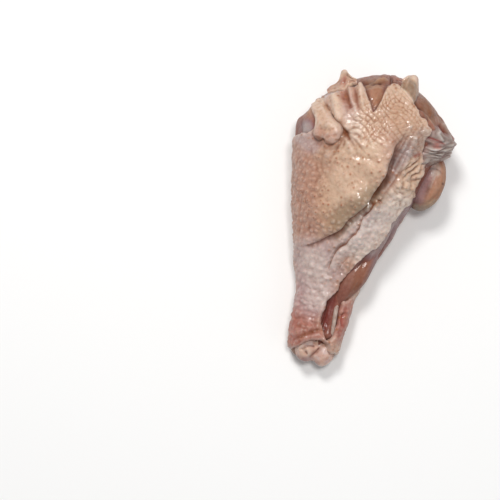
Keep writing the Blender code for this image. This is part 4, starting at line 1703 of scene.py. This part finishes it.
@dataclass(frozen=True)
class SkinTongue(Piece):
    """The tongue of skin that lies folded over on the left of the knee end."""

    name = "skin_tongue"
    node = slot = "skin"
    outline: Corners = (
        (-50.4, 173.4), (-47.4, 168), (-44.4, 163.4), (-43.4, 158), (-42.6, 153.4),
        (-39.4, 150.9), (-36.4, 153), (-33.4, 150.2), (-29.6, 150.9), (-27.4, 154.6),
        (-26.8, 159), (-28.6, 162.6), (-32.4, 165), (-36.8, 168.4), (-38.4, 172),
        (-37, 176.6), (-39.4, 180.4), (-44, 180.6), (-48.4, 178.4),
    )
    height: float = 3.9
    roll: float = 3.2
    lip: float = 1.2
    under: float = 5.0
    tuck: float = 0.8
    root_drop: float = 0.35
    dot_mm: float = 4.6
    dot_radius: float = 0.6
    cell: float = 0.5

    def cut_sheet(self, trail: Trail) -> tuple[BMesh, Array]:
        """Cuts a flat sheet to the outline and doubles its rim.

        Args:
            trail: The outline.

        Returns:
            The sheet, and its points. The rim's doubles stand at height 1.
        """
        low, high = trail.low - 1, trail.high + 1
        bm = grid(*(int(round(side / self.cell)) for side in high - low))
        plan = low + (read_points(bm)[:, :2] + 0.5) * (high - low)
        for vertex, place in zip(bm.verts, plan):
            vertex.co = (*place, 0.0)
        drop_faces(bm, trail.depth_outside(*plan.T))
        rim = [edge for edge in bm.edges if edge.is_boundary]
        corners = vertices_of(rim)
        found = trail.measure(*np.array([vertex.co[:2] for vertex in corners]).T)
        moves = np.stack((found.left_x, found.left_y), axis=1) * found.distance[:, None]
        for vertex, (move_x, move_y) in zip(corners, moves):
            vertex.co.xy = (vertex.co.x - move_x, vertex.co.y - move_y)
        return bm, extrude_rim(bm, rim)

    def shape(self) -> Mesh:
        """Makes the tongue's mesh."""
        trail = Trail(self.outline, closed=True)
        bm, flat = self.cut_sheet(trail)
        x, y, hidden = flat[:, 0], flat[:, 1], flat[:, 2] > 0.5
        depth = np.maximum(-trail.depth_outside(x, y), 0)
        found = trail.measure(x, y)
        places = Places.over(x, y)
        made = Relief(len(x))
        edge = np.clip(depth / self.roll, 0, 1)
        root = smooth((y - 168 + 0.35 * (x + 44)) / 9)
        lift = self.height * np.sqrt(1 - (1 - edge) ** 2) + hilly(x, y, *TONGUE_LUMPS) * edge
        made.rise = SKIN.relief(places).rise * (0.4 + 0.6 * root) + lift * (1 - root)
        made.rise -= self.root_drop * root + np.where(hidden, self.under, 0)
        reach = self.lip * hill(depth, 0.6 * self.roll) * (1 - root)
        out = -np.stack((found.left_x, found.left_y), axis=1)
        made.push = out * np.where(hidden, -self.tuck, reach)[:, None]
        lay_on(TONGUE_WASHES, places, made)
        made.tint(SHADE, np.where(hidden, 0.8, 0.0))
        cells = scattered(x / self.dot_mm, y / self.dot_mm, seed=55)
        dots = hill(cells.nearest * self.dot_mm, self.dot_radius) * smooth(cells.tag * 1.6 - 0.6)
        made.tint(PORE, 0.6 * dots)
        points = places.raised(made.rise)
        points[:, :2] += made.push
        write_points(bm, points)
        return mesh_of(self.name, bm, made)


@dataclass(frozen=True)
class TornEnd(ClosedSheet):
    """A torn end of skin that rises off the knee end and curls."""

    node = slot = "skin"
    name: str
    root: Corners
    tip: Corners
    seed: int
    curl: float = 1.6
    thickness: float = 2.4
    sink: float = 1.4
    columns: int = 56
    rows: int = 26
    waves: float = 1.5
    sway: float = 1.1
    lip: float = 0.8
    lip_at: float = 0.84
    belly_tone: Tone = PINK
    belly_share: float = 0.4
    brown_start: float = 0.0

    def place(self, along: Array, over: Array, is_under: Array) -> tuple[Array, Relief]:
        """Places the points between the root on the skin and the free, curled tip."""
        places = Places.over(*line_at(self.root, over).T)
        ground = np.clip(SKIN.relief(places).rise, -1, 2)
        base = places.raised(ground + np.where(is_under, -self.sink, self.thickness - self.sink))
        tip = line_at(self.tip, over)
        rounded = 1 - np.maximum((along - 0.85) / 0.15, 0) ** 2
        ends = smooth(np.minimum(over, 1 - over) * 8 + 0.15)
        thick = self.thickness * (1 + self.lip * hill(along - self.lip_at, 0.1)) * ends
        tip[:, 2] += self.curl * along ** 2 * (2 * over - 1) ** 2
        tip[:, 2] += np.where(is_under, -0.5, 0.5) * thick * rounded
        points = base * (1 - along[:, None]) + tip * along[:, None]
        points[:, 0] += self.sway * soft_noise(over * 5, along * 3, self.seed + 2) * along
        points[:, 1] += self.sway * soft_noise(over * 6, along * 3, self.seed + 3) * along
        points[:, 2] += self.waves * soft_noise(over * 4.2, along * 2.2, self.seed) * along
        points[:, 2] += 0.7 * soft_noise(over * 9, along * 5, self.seed + 1)
        made = Relief(len(over))
        streaks = soft_noise(over * 9, along * 2, self.seed + 4)
        belly = smooth(along / 0.2) * smooth((0.8 - along) / 0.2)
        made.tint(CREAM, 0.6 + 0.4 * streaks)
        made.tint(self.belly_tone, belly * (self.belly_share + 0.5 * streaks))
        made.tint(BROWN, self.brown_start * smooth(1 - over / 0.22))
        made.tint(SHADE, np.where(is_under, 0.45, 0.22 * belly * self.belly_share))
        return points, made


LEFT_FLAP = TornEnd(
    "left_flap",
    ((-42.6, 184), (-38.9, 185.4), (-34.4, 187), (-30.6, 189.5), (-27.2, 192),
     (-24.4, 193.5)),
    ((-43.2, 187, 42), (-41.6, 190, 46), (-38.6, 192.4, 50), (-37.3, 195.6, 54),
     (-37, 199.8, 57), (-34.2, 201.8, 59), (-31.4, 199.8, 60), (-28, 198, 59),
     (-25, 197, 58)),
    seed=121, brown_start=0.9,
)
RIGHT_CURL = TornEnd(
    "right_curl",
    ((4, 198.4), (8, 196.6), (12, 193.4), (15.5, 190.4)),
    ((5, 205.6, 56), (6.6, 209.6, 54), (9.8, 211.2, 52), (14.5, 211.6, 50), (17.6, 207.6, 49),
     (18.8, 200.5, 49)),
    seed=131, sink=2.2, lip=1.2, waves=2.2, belly_tone=OLIVE, belly_share=1.0,
)


# ---- flesh

MUSCLE_STROKES = (
    Stroke(((-25, 197), (-16, 201), (-6, 204)), 2.4, 2.2, BROWN, 0.8),
    Stroke(((-27, 194), (-17, 197.5), (-7, 199.5)), 1.1, -1.4, shade=0.6),
    Stroke(((-20, 195), (-12, 200), (-4, 203)), 0.8, 1.1, CREAM, 0.6),
    Stroke(((-3, 208), (-1, 202), (0, 197)), 1.1, -2, shade=0.85),
    Stroke(((2, 203), (8, 203)), 3, 2.4, PINK, 0.8),
    Stroke(((1, 207.5), (6, 207), (11, 205)), 1.3, 1.2, PINK, 0.6),
    Stroke(((0.5, 205.4), (5.5, 205), (10, 203.4)), 0.8, -1, shade=0.5),
    Stroke(((-10, 204), (-5, 206)), 3.2, 1.8, BROWN, 0.6),
    Stroke(((22, 198), (28, 194), (34, 188)), 3, 1.6, BROWN, 0.7),
    Stroke(((18, 193), (25, 188), (31, 182)), 1, -1.3, shade=0.7),
    Stroke(((21.5, 188.1), (26.6, 185.2), (32, 181), (37.3, 176.4)), 1.5, 1.9, PINK, 0.9),
    Stroke(((23.4, 188.6), (28.4, 185.6), (33.2, 181.6)), 0.7, 0.7, CREAM, 0.8),
    Stroke(((38, 182.5), (42.5, 179.2), (47.5, 175.4)), 1.6, -2, BLOOD, 0.95, shade=0.4),
    Stroke(((40.5, 184.5), (45.5, 180.8), (50, 176.5)), 1.4, 1.2, WHITE, 0.6),
    Stroke(((13, 205), (13, 199), (18, 193)), 0.9, -1.4, shade=0.85),
    Stroke(((-17, 194), (-13, 187), (-10, 180)), 3.4, 1.6, PINK, 0.5),
    Stroke(((-10, 196), (-9.5, 186)), 2, 0.9),
    Stroke(((-1, 46), (-1.5, 36), (0, 27)), 2.2, -0.8, BLOOD, 0.95),
    Stroke(((7, 44), (7.4, 34), (7, 26)), 1.4, 0.6, BLOOD, 0.5),
    Stroke(((-48, 180), (-52, 174), (-53.5, 166)), 1.5, 1, CREAM, 0.6),
    Stroke(((-49, 158), (-47, 153)), 2.4, 0.6, LAVENDER, 0.95),
)

MUSCLE_WASHES = (
    Wash(BROWN, ((-34, 194), (-24, 200), (-8, 207)), 14, 0.7),
    Wash(PINK, ((0, 208), (12, 206)), 9, 0.6),
    Wash(BROWN, ((18, 200), (32, 190), (44, 180)), 16, 0.95),
    Wash(SHADE, ((18, 202), (32, 192), (42, 182)), 12, 0.12),
    Wash(SHADE, ((-28, 198), (-18, 203), (-6, 206)), 9, 0.2),
    Wash(CREAM, ((-14, 196), (-9, 186)), 8, 0.35),
    Wash(BROWN, ((-47, 182), (-50, 171)), 9, 0.95),
    Wash(PINK, ((-44, 186), (-53, 171)), 11, 0.95),
    Wash(CREAM, ((-44, 186), (-53, 171)), 8, 0.25),
    Wash(PINK, ((-22, 203), (0, 208), (14, 206)), 7, 0.6),
    Wash(LAVENDER, ((-53, 158), (-50, 151)), 6.5, 0.9),
    Wash(WHITE, ((-53, 157), (-49, 152)), 5, 0.4),
    Wash(LAVENDER, ((32, 126), (26, 108), (16, 88)), 10, 0.9),
    Wash(WHITE, ((31, 122), (25, 104), (18, 88)), 6, 0.35),
    Wash(BLOOD, ((0, 46), (-1, 28)), 6, 0.8),
    Wash(BLOOD, ((-6, 6), (6, 6)), 8, 0.6),
)

FIBRE_HILLS = (Hills(0.2, 1.6, 9, 61), Hills(0.45, 6, 11, 62), Hills(0.5, 14, 14, 63))
BEAD_HILLS = (Hills(0.4, 2.3, 2.6, 68), Hills(0.2, 1.3, 1.5, 69))
SEAM_WINDING = Hills(0.35, 14, 14, 66)
MIDDLE_OF_TEAR = ((-16, 204), (-12, 194), (-9.5, 181))


@dataclass(frozen=True)
class MuscleCore(Piece):
    """The muscle under the skin, bare at the knee end, down the right side and in the tears."""

    name = "muscle_core"
    node = slot = "flesh"
    columns: int = 260
    rows: int = 250
    inset: float = 2.3
    hidden_drop: float = 5.0
    recess_middle: Point = (-3.0, 216.5, 25.0)
    recess_half: Point = (21.5, 17.5, 15.0)
    ankle_end: float = 8.0
    ankle_neck: float = 6.5
    ankle_reach: float = 23.0
    ankle_run: float = 8.0
    seam_depth: float = 1.3
    seam_turns: float = 2.3
    seam_width: float = 0.22

    def relief(self, places: Places) -> Relief:
        """Works out the muscle's relief and colours.

        Args:
            places: Where on the leg.

        Returns:
            The relief there.
        """
        made = Relief(len(places.x))
        lay_on((*MUSCLE_STROKES, *MUSCLE_WASHES), places, made)
        u, v = places.arc, places.y
        made.rise += hilly(u, v, *FIBRE_HILLS) * places.free
        made.rise += hilly(u, v, *BEAD_HILLS) * band(places, MIDDLE_OF_TEAR, 11)
        winding = places.angle * self.seam_turns + hilly(u, v, SEAM_WINDING)
        seam = hill(soft_noise(winding, v / 70, 65), self.seam_width) * places.free
        made.rise -= self.seam_depth * seam
        made.tint(SHADE, 0.22 * seam)
        middle, half = self.recess_middle, self.recess_half
        off = np.hypot((places.x - middle[0]) / half[0], (places.z - middle[2]) / half[2])
        # Darker red round the knee end's hollow: partly blood by the bones, partly painted shade
        # in the hollow.
        made.tint(BLOOD, 0.55 * smooth((1.35 - off) / 0.4) * smooth((v - 190) / 10))
        streaks = soft_noise(u / 5, v / 22, 64)
        low = smooth((150 - v) / 30)
        made.tint(LAVENDER, 0.4 * low * smooth(2 * streaks - 0.4))
        made.tint(PINK, 0.4 * (1 - low) * smooth(-2 * streaks))
        edge = SKIN.edge(places)
        made.rise -= self.hidden_drop * smooth((edge - 0.8) / 4.0)
        made.rise -= self.ankle_neck * smooth((self.ankle_reach - v) / self.ankle_run)
        made.tint(SHADE, 0.6 * hill(edge, 1.2))
        return made

    def cut_ends(self, points: Array) -> None:
        """Hollows the knee end round its bones, and cuts the ankle end flat.

        Args:
            points: The muscle's points, which are moved.
        """
        middle, half = np.array(self.recess_middle), np.array(self.recess_half)
        off = (((points - middle) / half)[:, (0, 2)] ** 2).sum(axis=1)
        off = off * (1 + 0.3 * soft_noise(points[:, 0] / 5, points[:, 2] / 5, 67))
        deep = middle[1] - half[1] * np.sqrt(np.clip(1 - off, 0, 1))
        points[:, 1] = np.where(off < 1, np.minimum(points[:, 1], deep), points[:, 1])
        points[:, 1] = np.maximum(points[:, 1], self.ankle_end)

    def shape(self) -> Mesh:
        """Makes the muscle's mesh."""
        bm = grid(self.columns, self.rows)
        jacket = SkinJacket(self.columns, self.rows, top_density=0.35, end_density=0.6)
        places = jacket.spread(read_points(bm)[:, :2])
        made = self.relief(places)
        points = LEG.point(places.station, places.angle, self.inset)
        points += places.out * (made.rise * LEG.end_share(places.station))[:, None]
        self.cut_ends(points)
        points[:, 2] = np.maximum(points[:, 2], self.inset)
        write_points(bm, points)
        return mesh_of(self.name, bm, made, painted_ridge_light=0.05, weld=True)


@dataclass(frozen=True)
class MuscleBelly(RoundedBody):
    """A muscle that stands out of the leg between its two ends."""

    node = slot = "flesh"
    sides, rings = 96, 90
    name: str
    start: Point
    end: Point
    half_width: float
    half_height: float
    bluntness: float
    features: tuple[Feature, ...]
    seed: int
    fibre_depth: float = 0.3
    groove_depth: float = 0.8
    grain: float = 3.0
    silver: float = 0.2
    squareness: float = 0.8
    lean: float = 0.0

    def place(self, share: Array, angle: Array) -> tuple[Array, Relief]:
        """Places the belly's points, grooved along its grain."""
        start, end = np.array(self.start), np.array(self.end)
        length = np.linalg.norm(end - start)
        axis = (end - start) / length
        side = np.cross(axis, (0.0, 0.0, 1.0))
        side /= np.linalg.norm(side)
        raised = np.cross(side, axis)
        along = (1 - np.cos(math.pi * share)) / 2
        full = np.clip(np.sin(math.pi * along), 0, 1) ** self.bluntness
        cosine, sine = np.cos(angle), np.sin(angle)
        grooves = soft_noise(self.grain * sine + 9, self.grain * cosine + along * length / 16,
                             self.seed)
        fine = soft_noise(9 * sine + 30, 9 * cosine + along * length / 8, self.seed + 1)
        rise = (self.groove_depth * grooves + self.fibre_depth * fine) * full
        across, up = (np.sign(turn) * np.abs(turn) ** self.squareness for turn in (cosine, sine))
        reach_x = (self.half_width + rise) * full * across
        reach_z = (self.half_height + rise) * full * up
        points = start + (end - start) * along[:, None]
        points = points + side * reach_x[:, None] + raised * reach_z[:, None]
        points[:, 0] -= self.lean * np.maximum(0, -reach_z)
        made = Relief(len(share))
        lay_on(self.features, FlatPlaces(points, sine + 0.5), made)
        made.tint(LAVENDER, self.silver * smooth(grooves * 2))
        points[:, 2] += made.rise * full
        return points, made


CALF_LOBE = MuscleBelly(
    "calf_lobe", (39.5, 123.0, 26), (44.5, 163.0, 29), 11.6, 14.6, 0.45,
    (
        Wash(BROWN, ((50, 156), (49, 142), (46, 130)), 14, 0.5, above=20),
        Wash(CREAM, ((50, 154), (49.5, 143), (47, 133)), 8, 0.35, above=24),
        Wash(PINK, ((42.5, 152), (42, 132)), 10, 0.7),
        Wash(LAVENDER, ((38.5, 152), (38, 132)), 8, 0.65, above=12),
        Wash(WHITE, ((44.2, 149), (43.4, 141)), 1.7, 0.35, above=26),
        Wash(GREY, ((35, 124), (42, 124), (48.6, 130)), 5, 0.85, above=20),
        Wash(WHITE, ((38, 155), (43, 155.5), (45, 152)), 5, 0.5, above=26),
        Wash(SHADE, ((51.6, 145),), 1.4, 0.8, above=34),
        Stroke(((45.2, 154), (44.6, 146), (42.4, 139), (41.6, 130)), 1.9, -0.6, shade=0.15),
        Stroke(((43, 153), (42.2, 147)), 1.2, 0.4, WHITE, 0.3),
        Stroke(((34, 150), (39, 153), (46, 153.5), (50, 151)), 1.1, -0.9, shade=0.35),
        Stroke(((34, 128), (42, 128), (47.5, 133), (51, 141)), 1, -0.7, shade=0.3),
    ), seed=71, fibre_depth=0.22, groove_depth=1.3, grain=1.5, silver=0.1, lean=0.42,
)
SHANK_BELLY = MuscleBelly(
    "shank_belly", (2.5, 43, 24), (21.5, 99, 23.5), 8.0, 11.2, 0.6,
    (
        Wash(BROWN, ((8, 56), (14, 74)), 14, 0.45),
        Wash(BLOOD, ((3, 46), (6, 56)), 6, 0.25),
        Wash(LAVENDER, ((18, 100), (24, 86), (25, 70)), 8, 0.6, above=14),
        Wash(WHITE, ((20, 96), (24.5, 84), (25.5, 72)), 4, 0.25, above=18),
    ), seed=81, fibre_depth=0.2, groove_depth=0.9, grain=1.6, silver=0.15, lean=0.2,
)


@dataclass(frozen=True)
class Membrane(ClosedSheet):
    """The crumpled membrane over the right side of the knee end."""

    name = "side_membrane"
    node = slot = "membrane"
    stations: Pair = (153.0, 179.5)
    angles: Pair = (-14.0, 43.0)
    width_mm: float = 30.0
    length_mm: float = 26.0
    underside: float = 5.5
    top: float = -0.9
    rim_drop: float = 3.6
    ragged_ends: float = 4.5
    ragged_sides: float = 9.0
    crumple_height: float = 2.2
    columns: int = 100
    rows: int = 100

    def place(self, along: Array, over: Array, is_under: Array) -> tuple[Array, Relief]:
        """Places the membrane's points, crumpled and with ragged rims."""
        u, v = over * self.width_mm, along * self.length_mm
        station = self.stations[0] + (self.stations[1] - self.stations[0]) * along
        rags = soft_noise(u / 3.5, along * 0 + 3, 96)
        station = station + self.ragged_ends * (2 * along - 1) ** 3 * rags
        degrees = self.angles[0] + (self.angles[1] - self.angles[0]) * over
        rags = soft_noise(v / 3.5, over * 0 + 5, 97)
        degrees = degrees + self.ragged_sides * (2 * over - 1) ** 3 * rags
        warp = soft_noise(u / 6, v / 6, 91)
        crumples = scattered((v * 0.9 + u * 0.5) / 3.0 + warp, (u * 0.9 - v * 0.5) / 9.5, seed=98,
                             jitter=0.95)
        ridge = np.clip((crumples.second - crumples.nearest) / 0.9, 0, 1)
        strength = 0.6 + 0.4 * soft_noise(u / 6, v / 4, 92)
        crossing = soft_noise(u / 3.2 + warp, v / 3.2, 93)
        rise = self.crumple_height * strength * smooth(ridge) - 1.0 + 0.6 * crossing
        rim = smooth(np.minimum(np.minimum(along, 1 - along), np.minimum(over, 1 - over)) * 7)
        full = 3.4 * np.exp(-((station - 164.5) / 5.5) ** 2 - ((degrees - 3) / 15) ** 2)
        full = full - 1.6 * np.exp(-((station - 176) / 3.5) ** 2 - ((degrees - 4) / 14) ** 2)
        outer = self.top - rise * rim + self.rim_drop * (1 - rim) - full * rim
        points = LEG.point(station, np.radians(degrees), np.where(is_under, self.underside, outer))
        made = Relief(len(over))
        valley = 1 - smooth(ridge * 3.0)
        low = smooth((12 - degrees) / 16)
        bloody = smooth(2 * soft_noise(u / 7, v / 7, 94) + 0.2)
        slit = hill(np.abs(v - 13 - 1.5 * warp - 0.15 * u), 0.8)
        # Crests turn whiter, partly the membrane's own white and partly painted light; the valleys
        # take painted shade, and blood.
        for tone, amount in (
            (BLOOD, 0.6 * valley * strength * bloody),
            (SHADE, 0.5 * valley * strength),
            (WHITE, 0.95 * smooth(ridge * 1.5 - 0.4) * strength * (1 - low)),
            (CREAM, 0.7 * low * (1 - valley)),
            (PINK, 0.8 * smooth(1 - np.hypot(u - 24, v - 15) / 4)),
            (PINK, 0.6 * low),
            (BLOOD, 0.6 * (1 - rim)),
            (BLOOD, 0.9 * slit * smooth((u - 17) / 6)),
        ):
            made.tint(tone, amount)
        return points, made


@dataclass(frozen=True)
class Tendon(RoundedBody):
    """The cord of sinew that lies in the slit beside the shin."""

    name = "shin_tendon"
    node = slot = "tendon"
    sides, rings = 32, 70
    path: Corners = (
        (6.4, 18, 21.5), (5.8, 25, 26.4), (4.8, 34, 28.2), (3.8, 43, 27.2), (3.6, 52, 21.5),
    )
    radius: float = 1.4
    taper: float = 1.7
    strands: int = 5
    strand_depth: float = 0.08

    def place(self, share: Array, angle: Array) -> tuple[Array, Relief]:
        """Places the cord's points round its path."""
        full = self.radius * np.minimum(1.0, np.sin(math.pi * share) * self.taper)
        full = full * (1 + self.strand_depth * np.sin(self.strands * angle + 9 * share))
        points = line_at(self.path, share)
        points[:, 0] += full * np.cos(angle)
        points[:, 2] += full * np.sin(angle)
        return points, Relief(len(share))


@dataclass(frozen=True)
class Joint(Piece):
    """The rounded gristle over the ends of the bones of one joint."""

    slot = "gristle"
    name: str
    node: str
    knuckles: Sequence[tuple[Point, Point]]
    strokes: tuple[Stroke, ...]
    seed: int
    blend: float = 0.16
    groove: float = 0.0
    groove_width: float = 2.4
    lumps: float = 0.6
    lump_mm: float = 4.0
    bloody_rim: float = 0.0
    detail: int = 6
    reach: float = 30.0
    halvings: int = 26

    def level(self, points: Array) -> Array:
        """Measures points to the joined knuckles.

        Args:
            points: The points, in millimetres.

        Returns:
            How far they lie outside, in shares of the knuckles' size.
        """
        total = np.zeros(len(points))
        for middle, half in self.knuckles:
            away = np.linalg.norm((points - np.array(middle)) / np.array(half), axis=1) - 1
            total += np.exp(-away / self.blend)
        return -self.blend * np.log(np.maximum(total, 1e-30))

    def skin_of(self, middle: Array, towards: Array) -> Array:
        """Finds where rays leave the joined knuckles.

        Args:
            middle: Where the rays start.
            towards: Their directions.

        Returns:
            The points.
        """
        near, far = np.zeros(len(towards)), np.full(len(towards), self.reach)
        for _ in range(self.halvings):
            half_way = (near + far) / 2
            outside = self.level(middle + towards * half_way[:, None]) > 0
            near, far = np.where(outside, near, half_way), np.where(outside, half_way, far)
        return middle + towards * near[:, None]

    def shape(self) -> Mesh:
        """Makes the joint's mesh."""
        bm = bmesh.new()
        bmesh.ops.create_icosphere(bm, subdivisions=self.detail, radius=1.0)
        towards = read_points(bm)
        towards /= np.linalg.norm(towards, axis=1, keepdims=True)
        middle = np.mean([np.array(k[0]) for k in self.knuckles], axis=0)
        points = self.skin_of(middle, towards)
        made = Relief(len(points))
        lay_on(self.strokes, FlatPlaces(points, towards[:, 2] + 0.4), made)
        u, v, w = (points / self.lump_mm).T
        rise = made.rise + self.lumps * soft_noise(u + w, v - w, self.seed)
        groove = self.groove * hill(points[:, 0] - middle[0], self.groove_width)
        rise -= groove * (towards[:, 1] > 0)
        made.tint(WHITE, 0.45 * smooth(soft_noise(u / 1.6, v + w, self.seed + 1)))
        made.tint(LAVENDER, 0.4 * smooth(soft_noise(u, v / 2 + w, self.seed + 2)))
        made.tint(BLOOD, self.bloody_rim * smooth((0.85 - towards[:, 1]) / 0.35))
        write_points(bm, points + towards * rise[:, None])
        return mesh_of(self.name, bm, made)


HOCK_JOINT = Joint(
    "hock_gristle", "hock_joint",
    (((-8.5, 9.5, 16.5), (7.5, 9.5, 11)), ((4, 9, 15.5), (6.8, 9, 10)),
     ((-2, 12, 14), (9, 8, 8.5))),
    (
        Stroke(((-14, 8), (-11, 13.5), (-5, 17), (0, 15)), 1.6, 2, CREAM, 0.7),
        Stroke(((-12, 7), (-8.5, 11.5), (-3, 12.5)), 1, -1.5, shade=0.6),
        Stroke(((-9, 2.5), (-11.5, 6.5), (-8.8, 9.6), (-5.4, 7.6), (-6, 4.6)), 1.3, 1, CREAM,
               0.4),
        Stroke(((-6, 3), (-2, 8), (1, 13)), 1.1, -1.5, shade=0.55),
        Stroke(((-8.8, 6.8), (-7.8, 5.9)), 1, -1.2, shade=0.5, fade=0),
        Stroke(((6, 17), (7, 20)), 3, 0.5, WHITE, 0.9),
        Stroke(((-15, 2), (-6, 0), (4, 1)), 3, 0, BLOOD, 0.7),
    ), seed=101,
)
KNEE_JOINT = Joint(
    "knee_gristle", "knee_joint",
    (((-12, 197, 25), (9, 9.5, 10.5)), ((6.5, 198, 24.5), (8.5, 9.5, 10)),
     ((-3, 196.5, 24), (10, 9, 10))),
    (), seed=111, blend=0.1, groove=2.6, bloody_rim=0.5,
)


# ---- studio


@dataclass(frozen=True)
class Lamp:
    """A square soft light that points at the leg. Its place and size are in metres."""

    name: str
    place: Point
    size: float
    power: float
    aim: Point = (0.0, 0.0, 0.03)

    def hang(self) -> None:
        """Hangs the light and turns it to the leg."""
        data = bpy.data.lights.new(self.name, "AREA")
        data.size, data.energy = self.size, self.power
        made = bpy.data.objects.new(self.name, data)
        made.location = self.place
        towards = Vector(self.aim) - made.location
        made.rotation_euler = towards.to_track_quat("-Z", "Y").to_euler()
        bpy.context.scene.collection.objects.link(made)


@dataclass(frozen=True)
class Studio:
    """A pale floor, soft light from above and a camera that looks straight down."""

    floor_size: float = 8.0
    floor_colour: str = "#f3f2f0"
    floor_roughness: float = 0.9
    floor_shine: float = 0.1
    room_colour: str = "#eef0f4"
    room_strength: float = 0.33
    lamps: tuple[Lamp, ...] = (
        Lamp("key_light", (-0.50, 0.75, 1.6), 0.36, 17.5),
        Lamp("glint_light", (0.05, 0.30, 1.9), 0.30, 14.0),
        Lamp("fill_light", (1.3, -0.6, 1.2), 1.2, 2.5),
    )
    camera_height: float = 1.53
    aim_across: float = -65.1
    aim_station: float = 65.3
    aim_height: float = 30.0
    photo_up: Pair = (-0.266, 0.964)
    seen_width: float = 0.349
    sensor: float = 36.0

    def floor(self) -> None:
        """Lays the floor."""
        bm = bmesh.new()
        bmesh.ops.create_grid(bm, x_segments=1, y_segments=1, size=self.floor_size / 2)
        mesh = bpy.data.meshes.new("floor")
        bm.to_mesh(mesh)
        bm.free()
        material = bpy.data.materials.new("floor_paper_matt")
        material.use_nodes = True
        shader = material.node_tree.nodes["Principled BSDF"]
        shader.inputs["Base Color"].default_value = linear(self.floor_colour)
        shader.inputs["Roughness"].default_value = self.floor_roughness
        shader.inputs["Specular IOR Level"].default_value = self.floor_shine
        mesh.materials.append(material)
        made = bpy.data.objects.new("floor", mesh)
        bpy.context.scene.collection.objects.link(made)

    def room(self) -> None:
        """Sets the pale surroundings."""
        world = bpy.data.worlds.new("pale_room")
        world.use_nodes = True
        background = world.node_tree.nodes["Background"]
        background.inputs["Color"].default_value = linear(self.room_colour)
        background.inputs["Strength"].default_value = self.room_strength
        bpy.context.scene.world = world

    def camera(self) -> None:
        """Sets the camera over the leg, turned so that the leg leans as in the photograph."""
        data = bpy.data.cameras.new("camera")
        made = bpy.data.objects.new("camera", data)
        bpy.context.scene.collection.objects.link(made)
        distance = self.camera_height - self.aim_height * MM
        data.sensor_width = self.sensor
        data.lens = self.sensor * distance / self.seen_width
        x, y, _ = to_part(np.array((self.aim_across, self.aim_station, 0.0)))
        made.location = (x, y, self.camera_height)
        made.rotation_euler = (0.0, 0.0, math.atan2(-self.photo_up[0], self.photo_up[1]))
        bpy.context.scene.camera = made
        bpy.context.scene.view_settings.view_transform = "Standard"

    def build(self) -> None:
        """Sets up the studio."""
        self.floor()
        for lamp in self.lamps:
            lamp.hang()
        self.room()
        self.camera()


def main() -> None:
    """Builds every piece in its finish, and sets up the studio."""
    logging.basicConfig(level=logging.INFO, format="%(name)s: %(message)s")
    for finish, pieces in (
        (SKIN_FINISH, (SkinJacket(), SkinTongue(), LEFT_FLAP, RIGHT_CURL)),
        (MUSCLE_FINISH, (MuscleCore(),)),
        (DRIER_MUSCLE_FINISH, (CALF_LOBE, SHANK_BELLY)),
        (MEMBRANE_FINISH, (Membrane(),)),
        (SINEW_FINISH, (Tendon(),)),
        (GRISTLE_FINISH, (HOCK_JOINT, KNEE_JOINT)),
    ):
        material = finish.make()
        for piece in pieces:
            piece.build(material)
    Studio().build()


if __name__ == "__main__":
    main()
